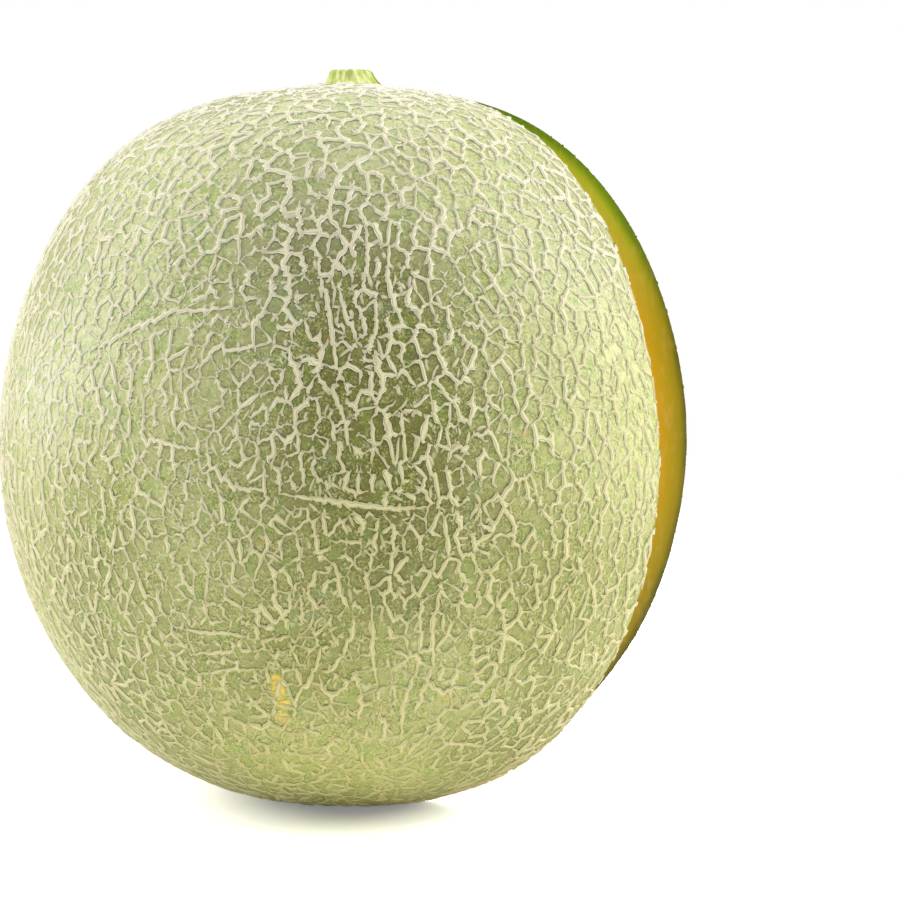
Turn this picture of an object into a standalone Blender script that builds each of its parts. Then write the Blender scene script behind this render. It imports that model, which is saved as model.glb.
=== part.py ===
"""Netted melon with one wedge cut out of it, standing on its blossom end.

Metres, +Z up. The origin is the middle of the small flat spot that the melon rests on, and the cut
wedge opens towards +X. The melon is one grown piece, rind and flesh together, with the hollow that held
its seeds. The stub of its stalk is a second piece, seated on top.
"""

import math

import bmesh
import bpy
import numpy as np

# Driving dimensions, measured over the crests of the net. The fullness is the outline's exponent, which
# grows from the equator to each end: 2 is an ellipse, and more is squarer in the shoulder.
EQUATOR_RADIUS = 0.0750
POLE_RADIUS = 0.0770
EQUATOR_FULLNESS = 2.05
STALK_END_FULLNESS = 2.52
BLOSSOM_END_FULLNESS = 2.27
REST_SPOT_RADIUS = 0.0180

# The net: corky ridges round irregular cells, larger than life so that few faces carry them.
CELL_COUNT = 560
CELL_SPREAD = 0.62  # least distance between two cell middles, as a share of the even spacing
NET_SEED = 7
RIDGE_HALF_WIDTH = 0.00140
RIDGE_HEIGHT = 0.00140
CELL_DOME = 0.00035  # how far a cell's middle swells above its rim
SHORTEST_RIDGE = 0.0010

# The cut wedge and the seed hollow behind it.
WEDGE_ANGLE = math.radians(40.0)
WEDGE_APEX_X = 0.0020  # the two knife cuts meet just short of the axis
WEDGE_REACH = 0.1100
HOLLOW_RADIUS = 0.0355
HOLLOW_HALF_HEIGHT = 0.0500
HOLLOW_LOBES = 3  # a melon grows its seeds in three beds
HOLLOW_LOBE_DEPTH = 0.030
SCOOP_DEPTH = 0.0007
SCOOPS_AROUND = 15
SCOOPS_ALONG = 9
HOLLOW_COLUMNS = 42
HOLLOW_ROWS = 20

# The stub of the stalk, from its flared foot to the cut across its top.
STEM_SIDES = 30
STEM_RIBS = 5
STEM_RINGS = (  # radius, height above the foot, depth of the ribs as a share of the radius
    (0.00760, 0.00000, 0.02),
    (0.00690, 0.00050, 0.04),
    (0.00600, 0.00110, 0.06),
    (0.00530, 0.00190, 0.08),
    (0.00490, 0.00270, 0.09),
    (0.00465, 0.00330, 0.09),
    (0.00425, 0.00360, 0.08),
)
STEM_TOP_DOME = 0.00020
STEM_SEAT_RADIUS = 0.0085
STEM_SEAT_DEPTH = 0.0006
SEAT_GAP = 0.0003

# Where the outline meets the resting plane, and the heights that follow from it.
REST_DROP = POLE_RADIUS * (
    1.0
    - (1.0 - (REST_SPOT_RADIUS / EQUATOR_RADIUS) ** BLOSSOM_END_FULLNESS) ** (1.0 / BLOSSOM_END_FULLNESS)
)
CENTRE_Z = POLE_RADIUS - REST_DROP
TOP_Z = CENTRE_Z + POLE_RADIUS


def clear_scene():
    for obj in list(bpy.data.objects):
        bpy.data.objects.remove(obj)


def material(name, colour, roughness):
    made = bpy.data.materials.new(name)
    made.use_nodes = True
    shader = made.node_tree.nodes["Principled BSDF"]
    shader.inputs["Base Color"].default_value = (*colour, 1.0)
    shader.inputs["Roughness"].default_value = roughness
    shader.inputs["Metallic"].default_value = 0.0
    return made


def mesh_object(name, points, faces, finish, smooth_angle=None):
    mesh = bpy.data.meshes.new(name)
    mesh.from_pydata([tuple(p) for p in points], [], [tuple(f) for f in faces])
    mesh.materials.append(finish)
    if smooth_angle is not None:
        mesh.shade_smooth()
        mesh.set_sharp_from_angle(angle=smooth_angle)
    obj = bpy.data.objects.new(name, mesh)
    bpy.context.scene.collection.objects.link(obj)
    return obj


def cut(obj, cutter, name):
    """Takes the cutter out of obj. The new faces get the cutter's own finish."""
    cutter.hide_render = True
    cutter.display_type = "WIRE"
    modifier = obj.modifiers.new(name, "BOOLEAN")
    modifier.operation = "DIFFERENCE"
    modifier.solver = "EXACT"
    modifier.material_mode = "TRANSFER"
    modifier.object = cutter


def smooth_step(share):
    share = np.clip(share, 0.0, 1.0)
    return share * share * (3.0 - 2.0 * share)


def outline_distance(directions):
    """How far the outline lies from the middle along each unit direction: |r/a|^n + |z/b|^n = 1, with
    n growing from the equator to each end."""
    across = np.hypot(directions[:, 0], directions[:, 1]) / EQUATOR_RADIUS
    along = np.abs(directions[:, 2]) / POLE_RADIUS
    end_fullness = np.where(directions[:, 2] > 0.0, STALK_END_FULLNESS, BLOSSOM_END_FULLNESS)
    fullness = EQUATOR_FULLNESS + (end_fullness - EQUATOR_FULLNESS) * directions[:, 2] ** 2
    return (across**fullness + along**fullness) ** (-1.0 / fullness)


def on_rind(directions, depth):
    """Points that lie depth below the outline, measured towards the middle of the melon."""
    points = directions * (outline_distance(directions) - depth)[:, None]
    points[:, 2] += CENTRE_Z
    return points


def cell_middles():
    """Unit directions spread at random over the sphere, none nearer another than CELL_SPREAD allows."""
    rng = np.random.default_rng(NET_SEED)
    even_spacing = math.sqrt(4.0 * math.pi / CELL_COUNT)
    closest = math.cos(CELL_SPREAD * even_spacing)
    kept = np.empty((0, 3))
    while len(kept) < CELL_COUNT:
        tried = rng.normal(size=3)
        tried /= np.linalg.norm(tried)
        if len(kept) == 0 or (kept @ tried).max() < closest:
            kept = np.vstack([kept, tried])
    return kept


def hull_triangles(points):
    """Delaunay triangles of points on a sphere, which are the faces of their convex hull, facing out."""
    bm = bmesh.new()
    vertices = [bm.verts.new(p) for p in points]
    bm.verts.index_update()
    bmesh.ops.convex_hull(bm, input=vertices)
    triangles = np.array([[v.index for v in face.verts] for face in bm.faces])
    bm.free()
    a, b, c = (points[triangles[:, k]] for k in range(3))
    inward = np.einsum("ij,ij->i", np.cross(b - a, c - a), a) < 0.0
    triangles[inward] = triangles[inward][:, ::-1]
    return triangles


def ridge_crossings(middles, triangles):
    """Unit directions where three ridges meet, one for each triangle, with very near ones made one."""
    a, b, c = (middles[triangles[:, k]] for k in range(3))
    crossings = np.cross(b - a, c - a)
    crossings /= np.linalg.norm(crossings, axis=1)[:, None]
    near = math.cos(SHORTEST_RIDGE / EQUATOR_RADIUS)
    stands_for = np.arange(len(crossings))
    for i, crossing in enumerate(crossings):
        others = np.flatnonzero(crossings[:i] @ crossing > near)
        if len(others):
            stands_for[i] = stands_for[others[0]]
    return crossings, stands_for


def cell_corners(middles, triangles, crossings, stands_for):
    """For each cell, its crossings in order round its middle, anticlockwise seen from outside."""
    corners = []
    for index, middle in enumerate(middles):
        met = np.flatnonzero((triangles == index).any(axis=1))
        sideways = np.cross(middle, [0.0, 0.0, 1.0] if abs(middle[2]) < 0.9 else [1.0, 0.0, 0.0])
        sideways /= np.linalg.norm(sideways)
        forwards = np.cross(middle, sideways)
        turn = np.arctan2(crossings[met] @ forwards, crossings[met] @ sideways)
        ring = stands_for[met[np.argsort(turn)]]
        corners.append([c for k, c in enumerate(ring) if c != ring[k - 1]])
    return corners


def net_share(directions):
    """1 where the net stands proud, falling to 0 round the resting spot and under the stalk."""
    across = np.hypot(directions[:, 0], directions[:, 1]) * outline_distance(directions)
    smooth_radius = np.where(directions[:, 2] > 0.0, STEM_SEAT_RADIUS, REST_SPOT_RADIUS)
    return smooth_step((across - smooth_radius) / (0.6 * smooth_radius))


def netted_rind(finish):
    """The whole melon: each cell is a low dome inside a ring of ridges, all raised by one formula.

    A ridge runs along the border between two cells. A cell's foot ring is its border drawn in towards
    the cell's middle, far enough to leave half a ridge between them.
    """
    middles = cell_middles()
    triangles = hull_triangles(middles)
    crossings, stands_for = ridge_crossings(middles, triangles)
    corners = cell_corners(middles, triangles, crossings, stands_for)
    rng = np.random.default_rng(NET_SEED + 1)
    crest_sink = RIDGE_HEIGHT * 0.35 * rng.random(len(crossings)) * net_share(crossings)
    crest_points = on_rind(crossings, crest_sink)
    used = sorted({c for ring in corners for c in ring})
    place = {c: k for k, c in enumerate(used)}
    points = [crest_points[c] for c in used]
    faces = []
    for ring in corners:
        count = len(ring)
        border = crossings[ring]
        middle = border.mean(axis=0)
        middle /= np.linalg.norm(middle)
        reach = np.linalg.norm(border - middle, axis=1) * EQUATOR_RADIUS
        drawn_in = np.minimum(RIDGE_HALF_WIDTH / reach, 0.55)[:, None]
        foot = border + (middle - border) * drawn_in
        foot /= np.linalg.norm(foot, axis=1)[:, None]
        low = np.vstack([foot, middle])
        sink = np.full(count + 1, RIDGE_HEIGHT)
        sink[-1] -= CELL_DOME
        first = len(points)
        points.extend(on_rind(low, sink * net_share(low)))
        for k in range(count):
            after = (k + 1) % count
            crest, next_crest = place[ring[k]], place[ring[after]]
            faces.append((crest, next_crest, first + after, first + k))
            faces.append((first + k, first + after, first + count))
    return mesh_object("melon", points, faces, finish, smooth_angle=math.radians(24.0))


def wedge_cutter(name, finish):
    """A prism whose two long faces are the knife cuts. They meet along a line just short of the axis."""
    half_width = math.tan(WEDGE_ANGLE / 2.0) * (WEDGE_REACH - WEDGE_APEX_X)
    corners = ((WEDGE_APEX_X, 0.0), (WEDGE_REACH, -half_width), (WEDGE_REACH, half_width))
    low, high = -0.5 * EQUATOR_RADIUS, TOP_Z + 0.5 * EQUATOR_RADIUS
    points = [(x, y, z) for z in (low, high) for x, y in corners]
    faces = [(2, 1, 0), (3, 4, 5), (0, 1, 4, 3), (1, 2, 5, 4), (2, 0, 3, 5)]
    return mesh_object(name, points, faces, finish)


def hollow_cutter(finish):
    """The seed hollow: an upright oval of three soft lobes, with a shallow wave left by the spoon."""
    rows = np.arange(1, HOLLOW_ROWS) * math.pi / HOLLOW_ROWS
    columns = np.arange(HOLLOW_COLUMNS) * 2.0 * math.pi / HOLLOW_COLUMNS
    polar, around = np.meshgrid(rows, columns, indexing="ij")
    lobes = 1.0 + HOLLOW_LOBE_DEPTH * np.cos(HOLLOW_LOBES * around)
    scoops = np.sin(SCOOPS_AROUND * around) * np.sin(SCOOPS_ALONG * polar + around)
    across = np.sin(polar) * (HOLLOW_RADIUS * lobes + SCOOP_DEPTH * scoops)
    wall = np.stack(
        [
            across * np.cos(around),
            across * np.sin(around),
            CENTRE_Z + HOLLOW_HALF_HEIGHT * np.cos(polar),
        ],
        axis=-1,
    ).reshape(-1, 3)
    top, bottom = len(wall), len(wall) + 1
    poles = [[0.0, 0.0, CENTRE_Z + HOLLOW_HALF_HEIGHT], [0.0, 0.0, CENTRE_Z - HOLLOW_HALF_HEIGHT]]
    last_row = (HOLLOW_ROWS - 2) * HOLLOW_COLUMNS
    faces = []
    for column in range(HOLLOW_COLUMNS):
        after = (column + 1) % HOLLOW_COLUMNS
        faces.append((top, column, after))
        faces.append((bottom, last_row + after, last_row + column))
        for row in range(HOLLOW_ROWS - 2):
            here, below = row * HOLLOW_COLUMNS, (row + 1) * HOLLOW_COLUMNS
            faces.append((here + column, below + column, below + after, here + after))
    return mesh_object("hollow_cutter", np.vstack([wall, poles]), faces, finish)


def round_cutter(name, radius, low, high, finish, sides=48):
    bm = bmesh.new()
    bmesh.ops.create_cone(
        bm, cap_ends=True, segments=sides, radius1=radius, radius2=radius, depth=high - low
    )
    bmesh.ops.translate(bm, verts=bm.verts, vec=(0.0, 0.0, 0.5 * (low + high)))
    mesh = bpy.data.meshes.new(name)
    bm.to_mesh(mesh)
    bm.free()
    mesh.materials.append(finish)
    obj = bpy.data.objects.new(name, mesh)
    bpy.context.scene.collection.objects.link(obj)
    return obj


def stem(finish):
    """The stub of the stalk: rings with rounded ribs, widest at the foot, slightly domed across the cut."""
    foot_z = TOP_Z - STEM_SEAT_DEPTH + SEAT_GAP
    around = np.arange(STEM_SIDES) * 2.0 * math.pi / STEM_SIDES
    points = []
    for radius, height, rib_depth in STEM_RINGS:
        ribbed = radius * (1.0 + rib_depth * np.cos(STEM_RIBS * around))
        for angle, reach in zip(around, ribbed):
            points.append((reach * math.cos(angle), reach * math.sin(angle), foot_z + height))
    foot_middle, top_middle = len(points), len(points) + 1
    points.append((0.0, 0.0, foot_z))
    points.append((0.0, 0.0, foot_z + STEM_RINGS[-1][1] + STEM_TOP_DOME))
    last_ring = (len(STEM_RINGS) - 1) * STEM_SIDES
    faces = []
    for side in range(STEM_SIDES):
        after = (side + 1) % STEM_SIDES
        faces.append((foot_middle, after, side))
        faces.append((top_middle, last_ring + side, last_ring + after))
        for ring in range(len(STEM_RINGS) - 1):
            here, above = ring * STEM_SIDES, (ring + 1) * STEM_SIDES
            faces.append((here + side, here + after, above + after, above + side))
    return mesh_object("stem", points, faces, finish, smooth_angle=math.radians(40.0))


def main():
    clear_scene()
    rind = material("netted_rind", (0.58, 0.60, 0.34), 0.62)
    flesh = material("melon_flesh", (0.86, 0.33, 0.09), 0.45)
    stalk = material("green_stalk", (0.42, 0.52, 0.16), 0.60)
    melon = netted_rind(rind)
    stub = stem(stalk)
    wedge = wedge_cutter("wedge_cutter", flesh)
    resting_plane = round_cutter("rest_cutter", EQUATOR_RADIUS, -0.02, 0.0, rind)
    seat = round_cutter(
        "seat_cutter", STEM_SEAT_RADIUS, TOP_Z - STEM_SEAT_DEPTH, TOP_Z + 0.02, rind
    )
    cut(melon, resting_plane, "resting spot")
    cut(melon, seat, "stalk seat")
    cut(melon, hollow_cutter(flesh), "seed hollow")
    cut(melon, wedge, "cut wedge")
    cut(stub, wedge, "cut wedge")


main()
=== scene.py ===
import math

import bpy
import numpy as np
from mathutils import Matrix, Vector
from mathutils.geometry import delaunay_2d_cdt


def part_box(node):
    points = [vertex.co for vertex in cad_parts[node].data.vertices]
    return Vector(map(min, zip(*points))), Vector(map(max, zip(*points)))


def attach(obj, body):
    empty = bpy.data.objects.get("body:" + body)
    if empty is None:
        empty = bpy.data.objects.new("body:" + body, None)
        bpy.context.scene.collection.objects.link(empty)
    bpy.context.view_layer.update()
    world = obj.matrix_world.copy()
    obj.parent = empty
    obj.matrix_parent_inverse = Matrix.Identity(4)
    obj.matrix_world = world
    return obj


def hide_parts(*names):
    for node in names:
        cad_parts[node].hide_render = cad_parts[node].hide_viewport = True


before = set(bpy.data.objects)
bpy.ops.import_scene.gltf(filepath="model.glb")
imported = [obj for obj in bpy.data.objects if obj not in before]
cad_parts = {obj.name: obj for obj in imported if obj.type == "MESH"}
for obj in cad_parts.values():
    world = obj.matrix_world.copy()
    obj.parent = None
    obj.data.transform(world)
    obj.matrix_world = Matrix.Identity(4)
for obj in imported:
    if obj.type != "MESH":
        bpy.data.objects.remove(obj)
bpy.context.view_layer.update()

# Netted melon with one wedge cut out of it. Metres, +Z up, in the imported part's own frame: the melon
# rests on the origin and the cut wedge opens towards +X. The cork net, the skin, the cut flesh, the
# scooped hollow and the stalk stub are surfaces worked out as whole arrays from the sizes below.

MM = 0.001

# The melon's outline over the crests of the net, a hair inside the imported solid. The fullness is the
# outline's exponent, which grows from the equator to each end: 2 is an ellipse, and more is squarer in
# the shoulder.
CREST_CLEAR = 0.10 * MM
melon_low, melon_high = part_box("melon")
EQUATOR_RADIUS = 0.5 * (melon_high.y - melon_low.y) - CREST_CLEAR
POLE_RADIUS = 77.0 / 75.0 * EQUATOR_RADIUS
EQUATOR_FULLNESS = 2.05
STALK_END_FULLNESS = 2.52
BLOSSOM_END_FULLNESS = 2.27
REST_SPOT_RADIUS = 18.0 * MM
REST_SINK = 0.38 * MM  # how far below the floor the outline's spot lies, so that the crests stand on it
REST_EDGE_SHARPNESS = 110.0  # how suddenly the outline turns into the spot
BELOW_SPOT = 1.0 - (REST_SPOT_RADIUS / EQUATOR_RADIUS) ** BLOSSOM_END_FULLNESS
REST_DROP = POLE_RADIUS * (1.0 - BELOW_SPOT ** (1.0 / BLOSSOM_END_FULLNESS))
CENTRE_Z = POLE_RADIUS - REST_DROP
CENTRE = np.array([0.0, 0.0, CENTRE_Z])
TOP_Z = CENTRE_Z + POLE_RADIUS

# The two knife cuts, which meet along an upright line just short of the axis, and the seed hollow.
HALF_WEDGE = math.radians(20.0)
WEDGE_APEX_X = 2.0 * MM
KNIFE_MIDDLE = np.array([WEDGE_APEX_X, 0.0, CENTRE_Z])
HOLLOW_RADIUS = 35.5 * MM
HOLLOW_HALF_HEIGHT = 50.0 * MM
HOLLOW_LOBES = 3
HOLLOW_LOBE_DEPTH = 0.030

# The cork net. Lengths are in millimetres.
NET_CELLS = 6400
CELL_UNEVENNESS = 0.52
MESH_PANES = 3700  # wide panes with stout borders, each made of a few cells
PANE_UNEVENNESS = 0.66
CELL_SQUASH = 0.74  # upright distances count this much, so cells stand taller than they are wide
NET_SEED = 21
TALLEST_CORD = 0.62
CORD_STEEPNESS = 0.28  # half-width at which a cord reaches 63% of that height
GROOVE_SHARE = 0.14  # how much of the height the split down a cord's middle takes
LIP_PLACE = 0.76  # where the lip stands, as a share of the half-width
LEAST_INSET = 0.10  # how far in a cell's rings stand where its border is bare
CORD_BEND = 0.30  # how far a border's inner points stand off it, as a share of its length
LONGEST_BEND = 0.42
BEND_ROOM = 0.25  # the most of a cell that such a bend takes up
BEND_ASKEW = 0.11  # the same in a cell that lies askew beside the border
INNER_POINT_SLIDE = 0.06
CORD_RAGGEDNESS = 0.11
SCAR_RAGGEDNESS = 0.25  # of the other cords'
SPUR_SHARE = 0.06  # of the points along a cord's foot
SPUR_REACH = 1.8
CORNER_FILLET = 1.18  # how much further cork reaches into the corners of a cell
NARROWEST_CELL = 0.45  # least distance from a cell's centre to its side
DEEPEST_FOOT = 0.76  # of the way to the cell's centre
HALFWAY = 0.42  # of the way from the foot to the centre
COVERING_WIDTH = 0.12  # half-width from which cork hides the skin
# The split's darkening is tan colour and partly painted shade in the groove.
SPLIT_WIDTH = 0.38  # half-width from which the split is at its darkest
CELL_DOME = 0.10  # how far the skin swells towards a cell's centre
DOME_PER_MM = 0.67  # share of that swelling for each millimetre from the centre to the sides
DOME_LIMITS = (0.3, 1.3)
DOME_SHARES = (0.60, 0.65, 0.75, 0.85)  # at the border, the lip, the foot and half-way
BARE_UNDER_STALK = 4.0  # crossings this near the axis have no cork
WORN_BESIDE_CUT = 6.0
WORN_AWAY = 0.65  # of a cord's width
LUMP_SIZE = 34.0
LUMP_DEPTH = 0.14
COLLAR_HEIGHT = 0.9  # of the skin round the stalk, falling off over a slope to its outer reach
COLLAR_REACH = 12.0
COLLAR_SLOPE = 7.0
RIND_PIECES = 5

# The photograph's frame: 900 pixels wide, with the melon's middle left of its centre.
FRAME_PIXELS = 900.0
MELON_PIXEL = (350.0, 444.5)
PIXELS_PER_MM = 4.65
CAMERA_AZIMUTH = math.radians(14.0)
CAMERA_ELEVATION = math.radians(4.5)
LENS_MM = 100.0
SENSOR_MM = 36.0
CAMERA_DISTANCE = FRAME_PIXELS / PIXELS_PER_MM * LENS_MM / SENSOR_MM * MM


def unit(vectors):
    return vectors / np.linalg.norm(vectors, axis=-1, keepdims=True)


def smooth_step(share):
    share = np.clip(share, 0.0, 1.0)
    return share * share * (3.0 - 2.0 * share)


def between(limits, share):
    return limits[0] + (limits[1] - limits[0]) * share


def soft_noise(points, size, seed, waves=18):
    """Smooth noise, mostly between -1 and 1: the sum of plane waves about `size` long, each crossing
    the points in a random direction."""
    rng = np.random.default_rng(seed)
    turns = unit(rng.normal(size=(waves, 3))) / (size * rng.uniform(0.7, 1.5, (waves, 1)))
    phases = rng.uniform(0.0, 1.0, waves)
    return np.sin(2.0 * math.pi * (points @ turns.T + phases)).sum(axis=1) / math.sqrt(2.0 * waves)


# The camera, from where the photograph was taken.


def from_front(azimuth, elevation):
    """The direction from the melon to a place turned by `azimuth` from its -Y side, and raised."""
    level = math.cos(elevation)
    return np.array([math.sin(azimuth) * level, -math.cos(azimuth) * level, math.sin(elevation)])


def camera_axes():
    """Where the camera stands, and its forward, right and up directions. It looks past the melon, so
    that the melon's middle falls on its pixel."""
    back = from_front(CAMERA_AZIMUTH, CAMERA_ELEVATION)
    right = np.array([math.cos(CAMERA_AZIMUTH), math.sin(CAMERA_AZIMUTH), 0.0])
    up = np.cross(back, right)
    place = CENTRE + CAMERA_DISTANCE * back
    across = (0.5 * FRAME_PIXELS - MELON_PIXEL[0]) / PIXELS_PER_MM * MM
    down = (0.5 * FRAME_PIXELS - MELON_PIXEL[1]) / PIXELS_PER_MM * MM
    forward = unit(CENTRE + across * right - down * up - place)
    right = unit(np.cross(forward, [0.0, 0.0, 1.0]))
    return place, forward, right, np.cross(right, forward)


def seen_at(pixels):
    """Unit directions from the melon's middle to the points of its rind seen at these pixels: where
    the camera's ray first meets the ellipsoid with the melon's two radii."""
    place, forward, right, up = camera_axes()
    offset = (np.asarray(pixels, float) - 0.5 * FRAME_PIXELS) / FRAME_PIXELS * SENSOR_MM / LENS_MM
    rays = forward + offset[:, :1] * right - offset[:, 1:] * up
    radii = np.array([EQUATOR_RADIUS, EQUATOR_RADIUS, POLE_RADIUS])
    start = (place - CENTRE) / radii
    rays = rays / radii
    a = (rays**2).sum(axis=1)
    b = rays @ start
    c = start @ start - 1.0
    reach = (-b - np.sqrt(np.maximum(b * b - a * c, 0.0))) / a
    return unit((start + reach[:, None] * rays) * radii)


# The shapes that everything follows.


def crest_reach(directions):
    """Distance from the melon's middle to its outline: |r/a|^n + |z/b|^n = 1, with n growing from the
    equator to each end, cut off softly by the resting plane."""
    across = np.hypot(directions[:, 0], directions[:, 1]) / EQUATOR_RADIUS
    along = np.abs(directions[:, 2]) / POLE_RADIUS
    end_fullness = np.where(directions[:, 2] > 0.0, STALK_END_FULLNESS, BLOSSOM_END_FULLNESS)
    fullness = EQUATOR_FULLNESS + (end_fullness - EQUATOR_FULLNESS) * directions[:, 2] ** 2
    free = (across**fullness + along**fullness) ** (-1.0 / fullness)
    to_floor = (CENTRE_Z + REST_SINK) / np.maximum(-directions[:, 2], 1e-3)
    sharpness = REST_EDGE_SHARPNESS
    return free * (1.0 + (free / to_floor) ** sharpness) ** (-1.0 / sharpness)


def from_middle(points):
    """(each point's distance from the melon's middle, the outline's distance in the same direction)."""
    offset = points - CENTRE
    length = np.linalg.norm(offset, axis=1)
    return length, crest_reach(offset / np.maximum(length, 1e-9)[:, None])


def outline_level(points):
    """0 at the melon's middle and 1 on its outline."""
    length, reach = from_middle(points)
    return length / reach


def hollow_level(points):
    """0 at the melon's middle and 1 on the wall of the seed hollow: an upright oval of three lobes."""
    x, y, z = (points - CENTRE).T
    lobes = 1.0 + HOLLOW_LOBE_DEPTH * np.cos(HOLLOW_LOBES * np.arctan2(y, x))
    return np.hypot(np.hypot(x, y) / (HOLLOW_RADIUS * lobes), z / HOLLOW_HALF_HEIGHT)


FARTHEST_WALL = 120.0 * MM
HALVINGS = 34


def knife_reach(level, directions):
    """Distance from the knife line's middle to where a level reaches 1, found by halving."""
    near = np.zeros(len(directions))
    far = np.full(len(directions), FARTHEST_WALL)
    for _ in range(HALVINGS):
        middle = 0.5 * (near + far)
        inside = level(KNIFE_MIDDLE + middle[:, None] * directions) < 1.0
        near = np.where(inside, middle, near)
        far = np.where(inside, far, middle)
    return near


def knife_directions(polar, turn):
    """Unit directions from the knife line's middle: polar from straight up, turn round the line."""
    level = np.sin(polar)
    return np.stack([level * np.cos(turn), level * np.sin(turn), np.cos(polar)], axis=-1)


# Meshes.


def build(name, points, triangles, finish, values=None, normals=None, sharp_from=None):
    """A mesh object at the origin from whole arrays. values maps an attribute's name to one number or
    one colour for each point."""
    mesh = bpy.data.meshes.new(name)
    mesh.vertices.add(len(points))
    mesh.loops.add(3 * len(triangles))
    mesh.polygons.add(len(triangles))
    mesh.vertices.foreach_set("co", np.ascontiguousarray(points, np.float32).ravel())
    mesh.loops.foreach_set("vertex_index", np.ascontiguousarray(triangles, np.int32).ravel())
    mesh.polygons.foreach_set("loop_start", np.arange(0, 3 * len(triangles), 3, dtype=np.int32))
    mesh.update(calc_edges=True)
    mesh.polygons.foreach_set("use_smooth", np.ones(len(triangles), bool))
    for key, value in (values or {}).items():
        value = np.ascontiguousarray(value, np.float32)
        kind, field = ("FLOAT", "value") if value.ndim == 1 else ("FLOAT_COLOR", "color")
        mesh.attributes.new(key, kind, "POINT").data.foreach_set(field, value.ravel())
    if normals is not None:
        mesh.normals_split_custom_set_from_vertices(normals.tolist())
    if sharp_from is not None:
        mesh.set_sharp_from_angle(angle=sharp_from)
    mesh.materials.append(finish)
    obj = bpy.data.objects.new(name, mesh)
    bpy.context.scene.collection.objects.link(obj)
    return obj


def grid_triangles(rows, columns, first=0):
    """Two triangles for each square of a grid whose points are numbered row by row."""
    row, column = np.meshgrid(np.arange(rows - 1), np.arange(columns - 1), indexing="ij")
    corner = (first + row * columns + column).ravel()
    one = np.stack([corner, corner + columns, corner + columns + 1], axis=1)
    two = np.stack([corner, corner + columns + 1, corner + 1], axis=1)
    return np.concatenate([one, two])


def zipped(outer_places, inner_places, outer_first, inner_first):
    """Triangles between two rows of points with different spacing: each point, in order of its place
    along the rows, closes one triangle with the last point met on either row."""
    outer_steps = np.arange(1, len(outer_places))
    inner_steps = np.arange(1, len(inner_places))
    places = np.concatenate([outer_places[1:], inner_places[1:]])
    on_outer = np.concatenate([np.ones(len(outer_steps), bool), np.zeros(len(inner_steps), bool)])
    on_outer = on_outer[np.argsort(places, kind="stable")]
    outer = outer_first + np.cumsum(on_outer)
    inner = inner_first + np.cumsum(~on_outer)
    third = np.where(on_outer, outer - 1, inner - 1)
    return np.stack([outer, third, inner], axis=1)


SAME_PLACE = 0.0005 * MM


def welded(points, triangles, values):
    """Points at the same place made one, and triangles that collapse dropped."""
    grid = np.round(points / SAME_PLACE).astype(np.int64)
    _, first, index = np.unique(grid, axis=0, return_index=True, return_inverse=True)
    triangles = index.reshape(-1)[triangles]
    a, b, c = triangles.T
    return points[first], triangles[(a != b) & (b != c) & (c != a)], values[first]


def facing(points, triangles, towards):
    """The triangles, turned over if their mean normal points away from `towards`."""
    a, b, c = (points[triangles[:, k]] for k in range(3))
    outward = (np.cross(b - a, c - a) * towards).sum()
    return triangles if outward > 0.0 else triangles[:, ::-1]


def point_normals(points, triangles):
    """The mean normal of the triangles round each point, weighted by their area."""
    a, b, c = (points[triangles[:, k]] for k in range(3))
    across = np.cross(b - a, c - a)
    sums = [np.bincount(triangles.ravel(), np.repeat(across[:, k], 3), len(points)) for k in range(3)]
    total = np.stack(sums, axis=1)
    return total / np.maximum(np.linalg.norm(total, axis=1, keepdims=True), 1e-20)


# How the net and the skin differ from place to place. Each row is a pixel of the photograph, a
# radius in millimetres, and there: how stout the cords are, how broken the net is, how dark the
# skin is and how yellow the cork is.

NET_REGIONS = (
    ((350, 165), 22, 1.00, 0.25, 0.35, 0.25),
    ((330, 260), 20, 1.18, 0.30, 0.60, 0.20),
    ((350, 350), 22, 1.34, 0.50, 0.95, 0.28),
    ((400, 440), 22, 1.30, 0.70, 1.00, 0.45),
    ((350, 540), 22, 1.28, 0.80, 0.92, 0.70),
    ((300, 650), 26, 1.15, 0.85, 0.52, 0.90),
    ((150, 350), 26, 0.80, 0.60, 0.24, 0.25),
    ((170, 440), 22, 0.80, 0.70, 0.46, 0.35),
    ((110, 570), 28, 0.88, 0.85, 0.54, 0.65),
    ((560, 380), 24, 0.80, 0.55, 0.40, 0.50),
    ((560, 600), 28, 0.98, 0.70, 0.48, 0.85),
    ((470, 190), 20, 0.90, 0.30, 0.20, 0.30),
    ((45, 380), 16, 0.75, 0.55, 0.10, 0.15),
    ((640, 400), 20, 0.75, 0.60, 0.10, 0.70),
)
# All round, under those regions: each level's middle, how far slow noise moves it, and the size in
# millimetres and the seed of that noise.
SLOW_LEVELS = ((0.90, 0.14, 45, 61), (0.42, 0.20, 55, 62), (0.38, 0.25, 60, 63), (0.55, 0.10, 50, 64))
YELLOWER_BELOW = 0.40  # how much yellower the cork is at the blossom end than at the equator


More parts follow.
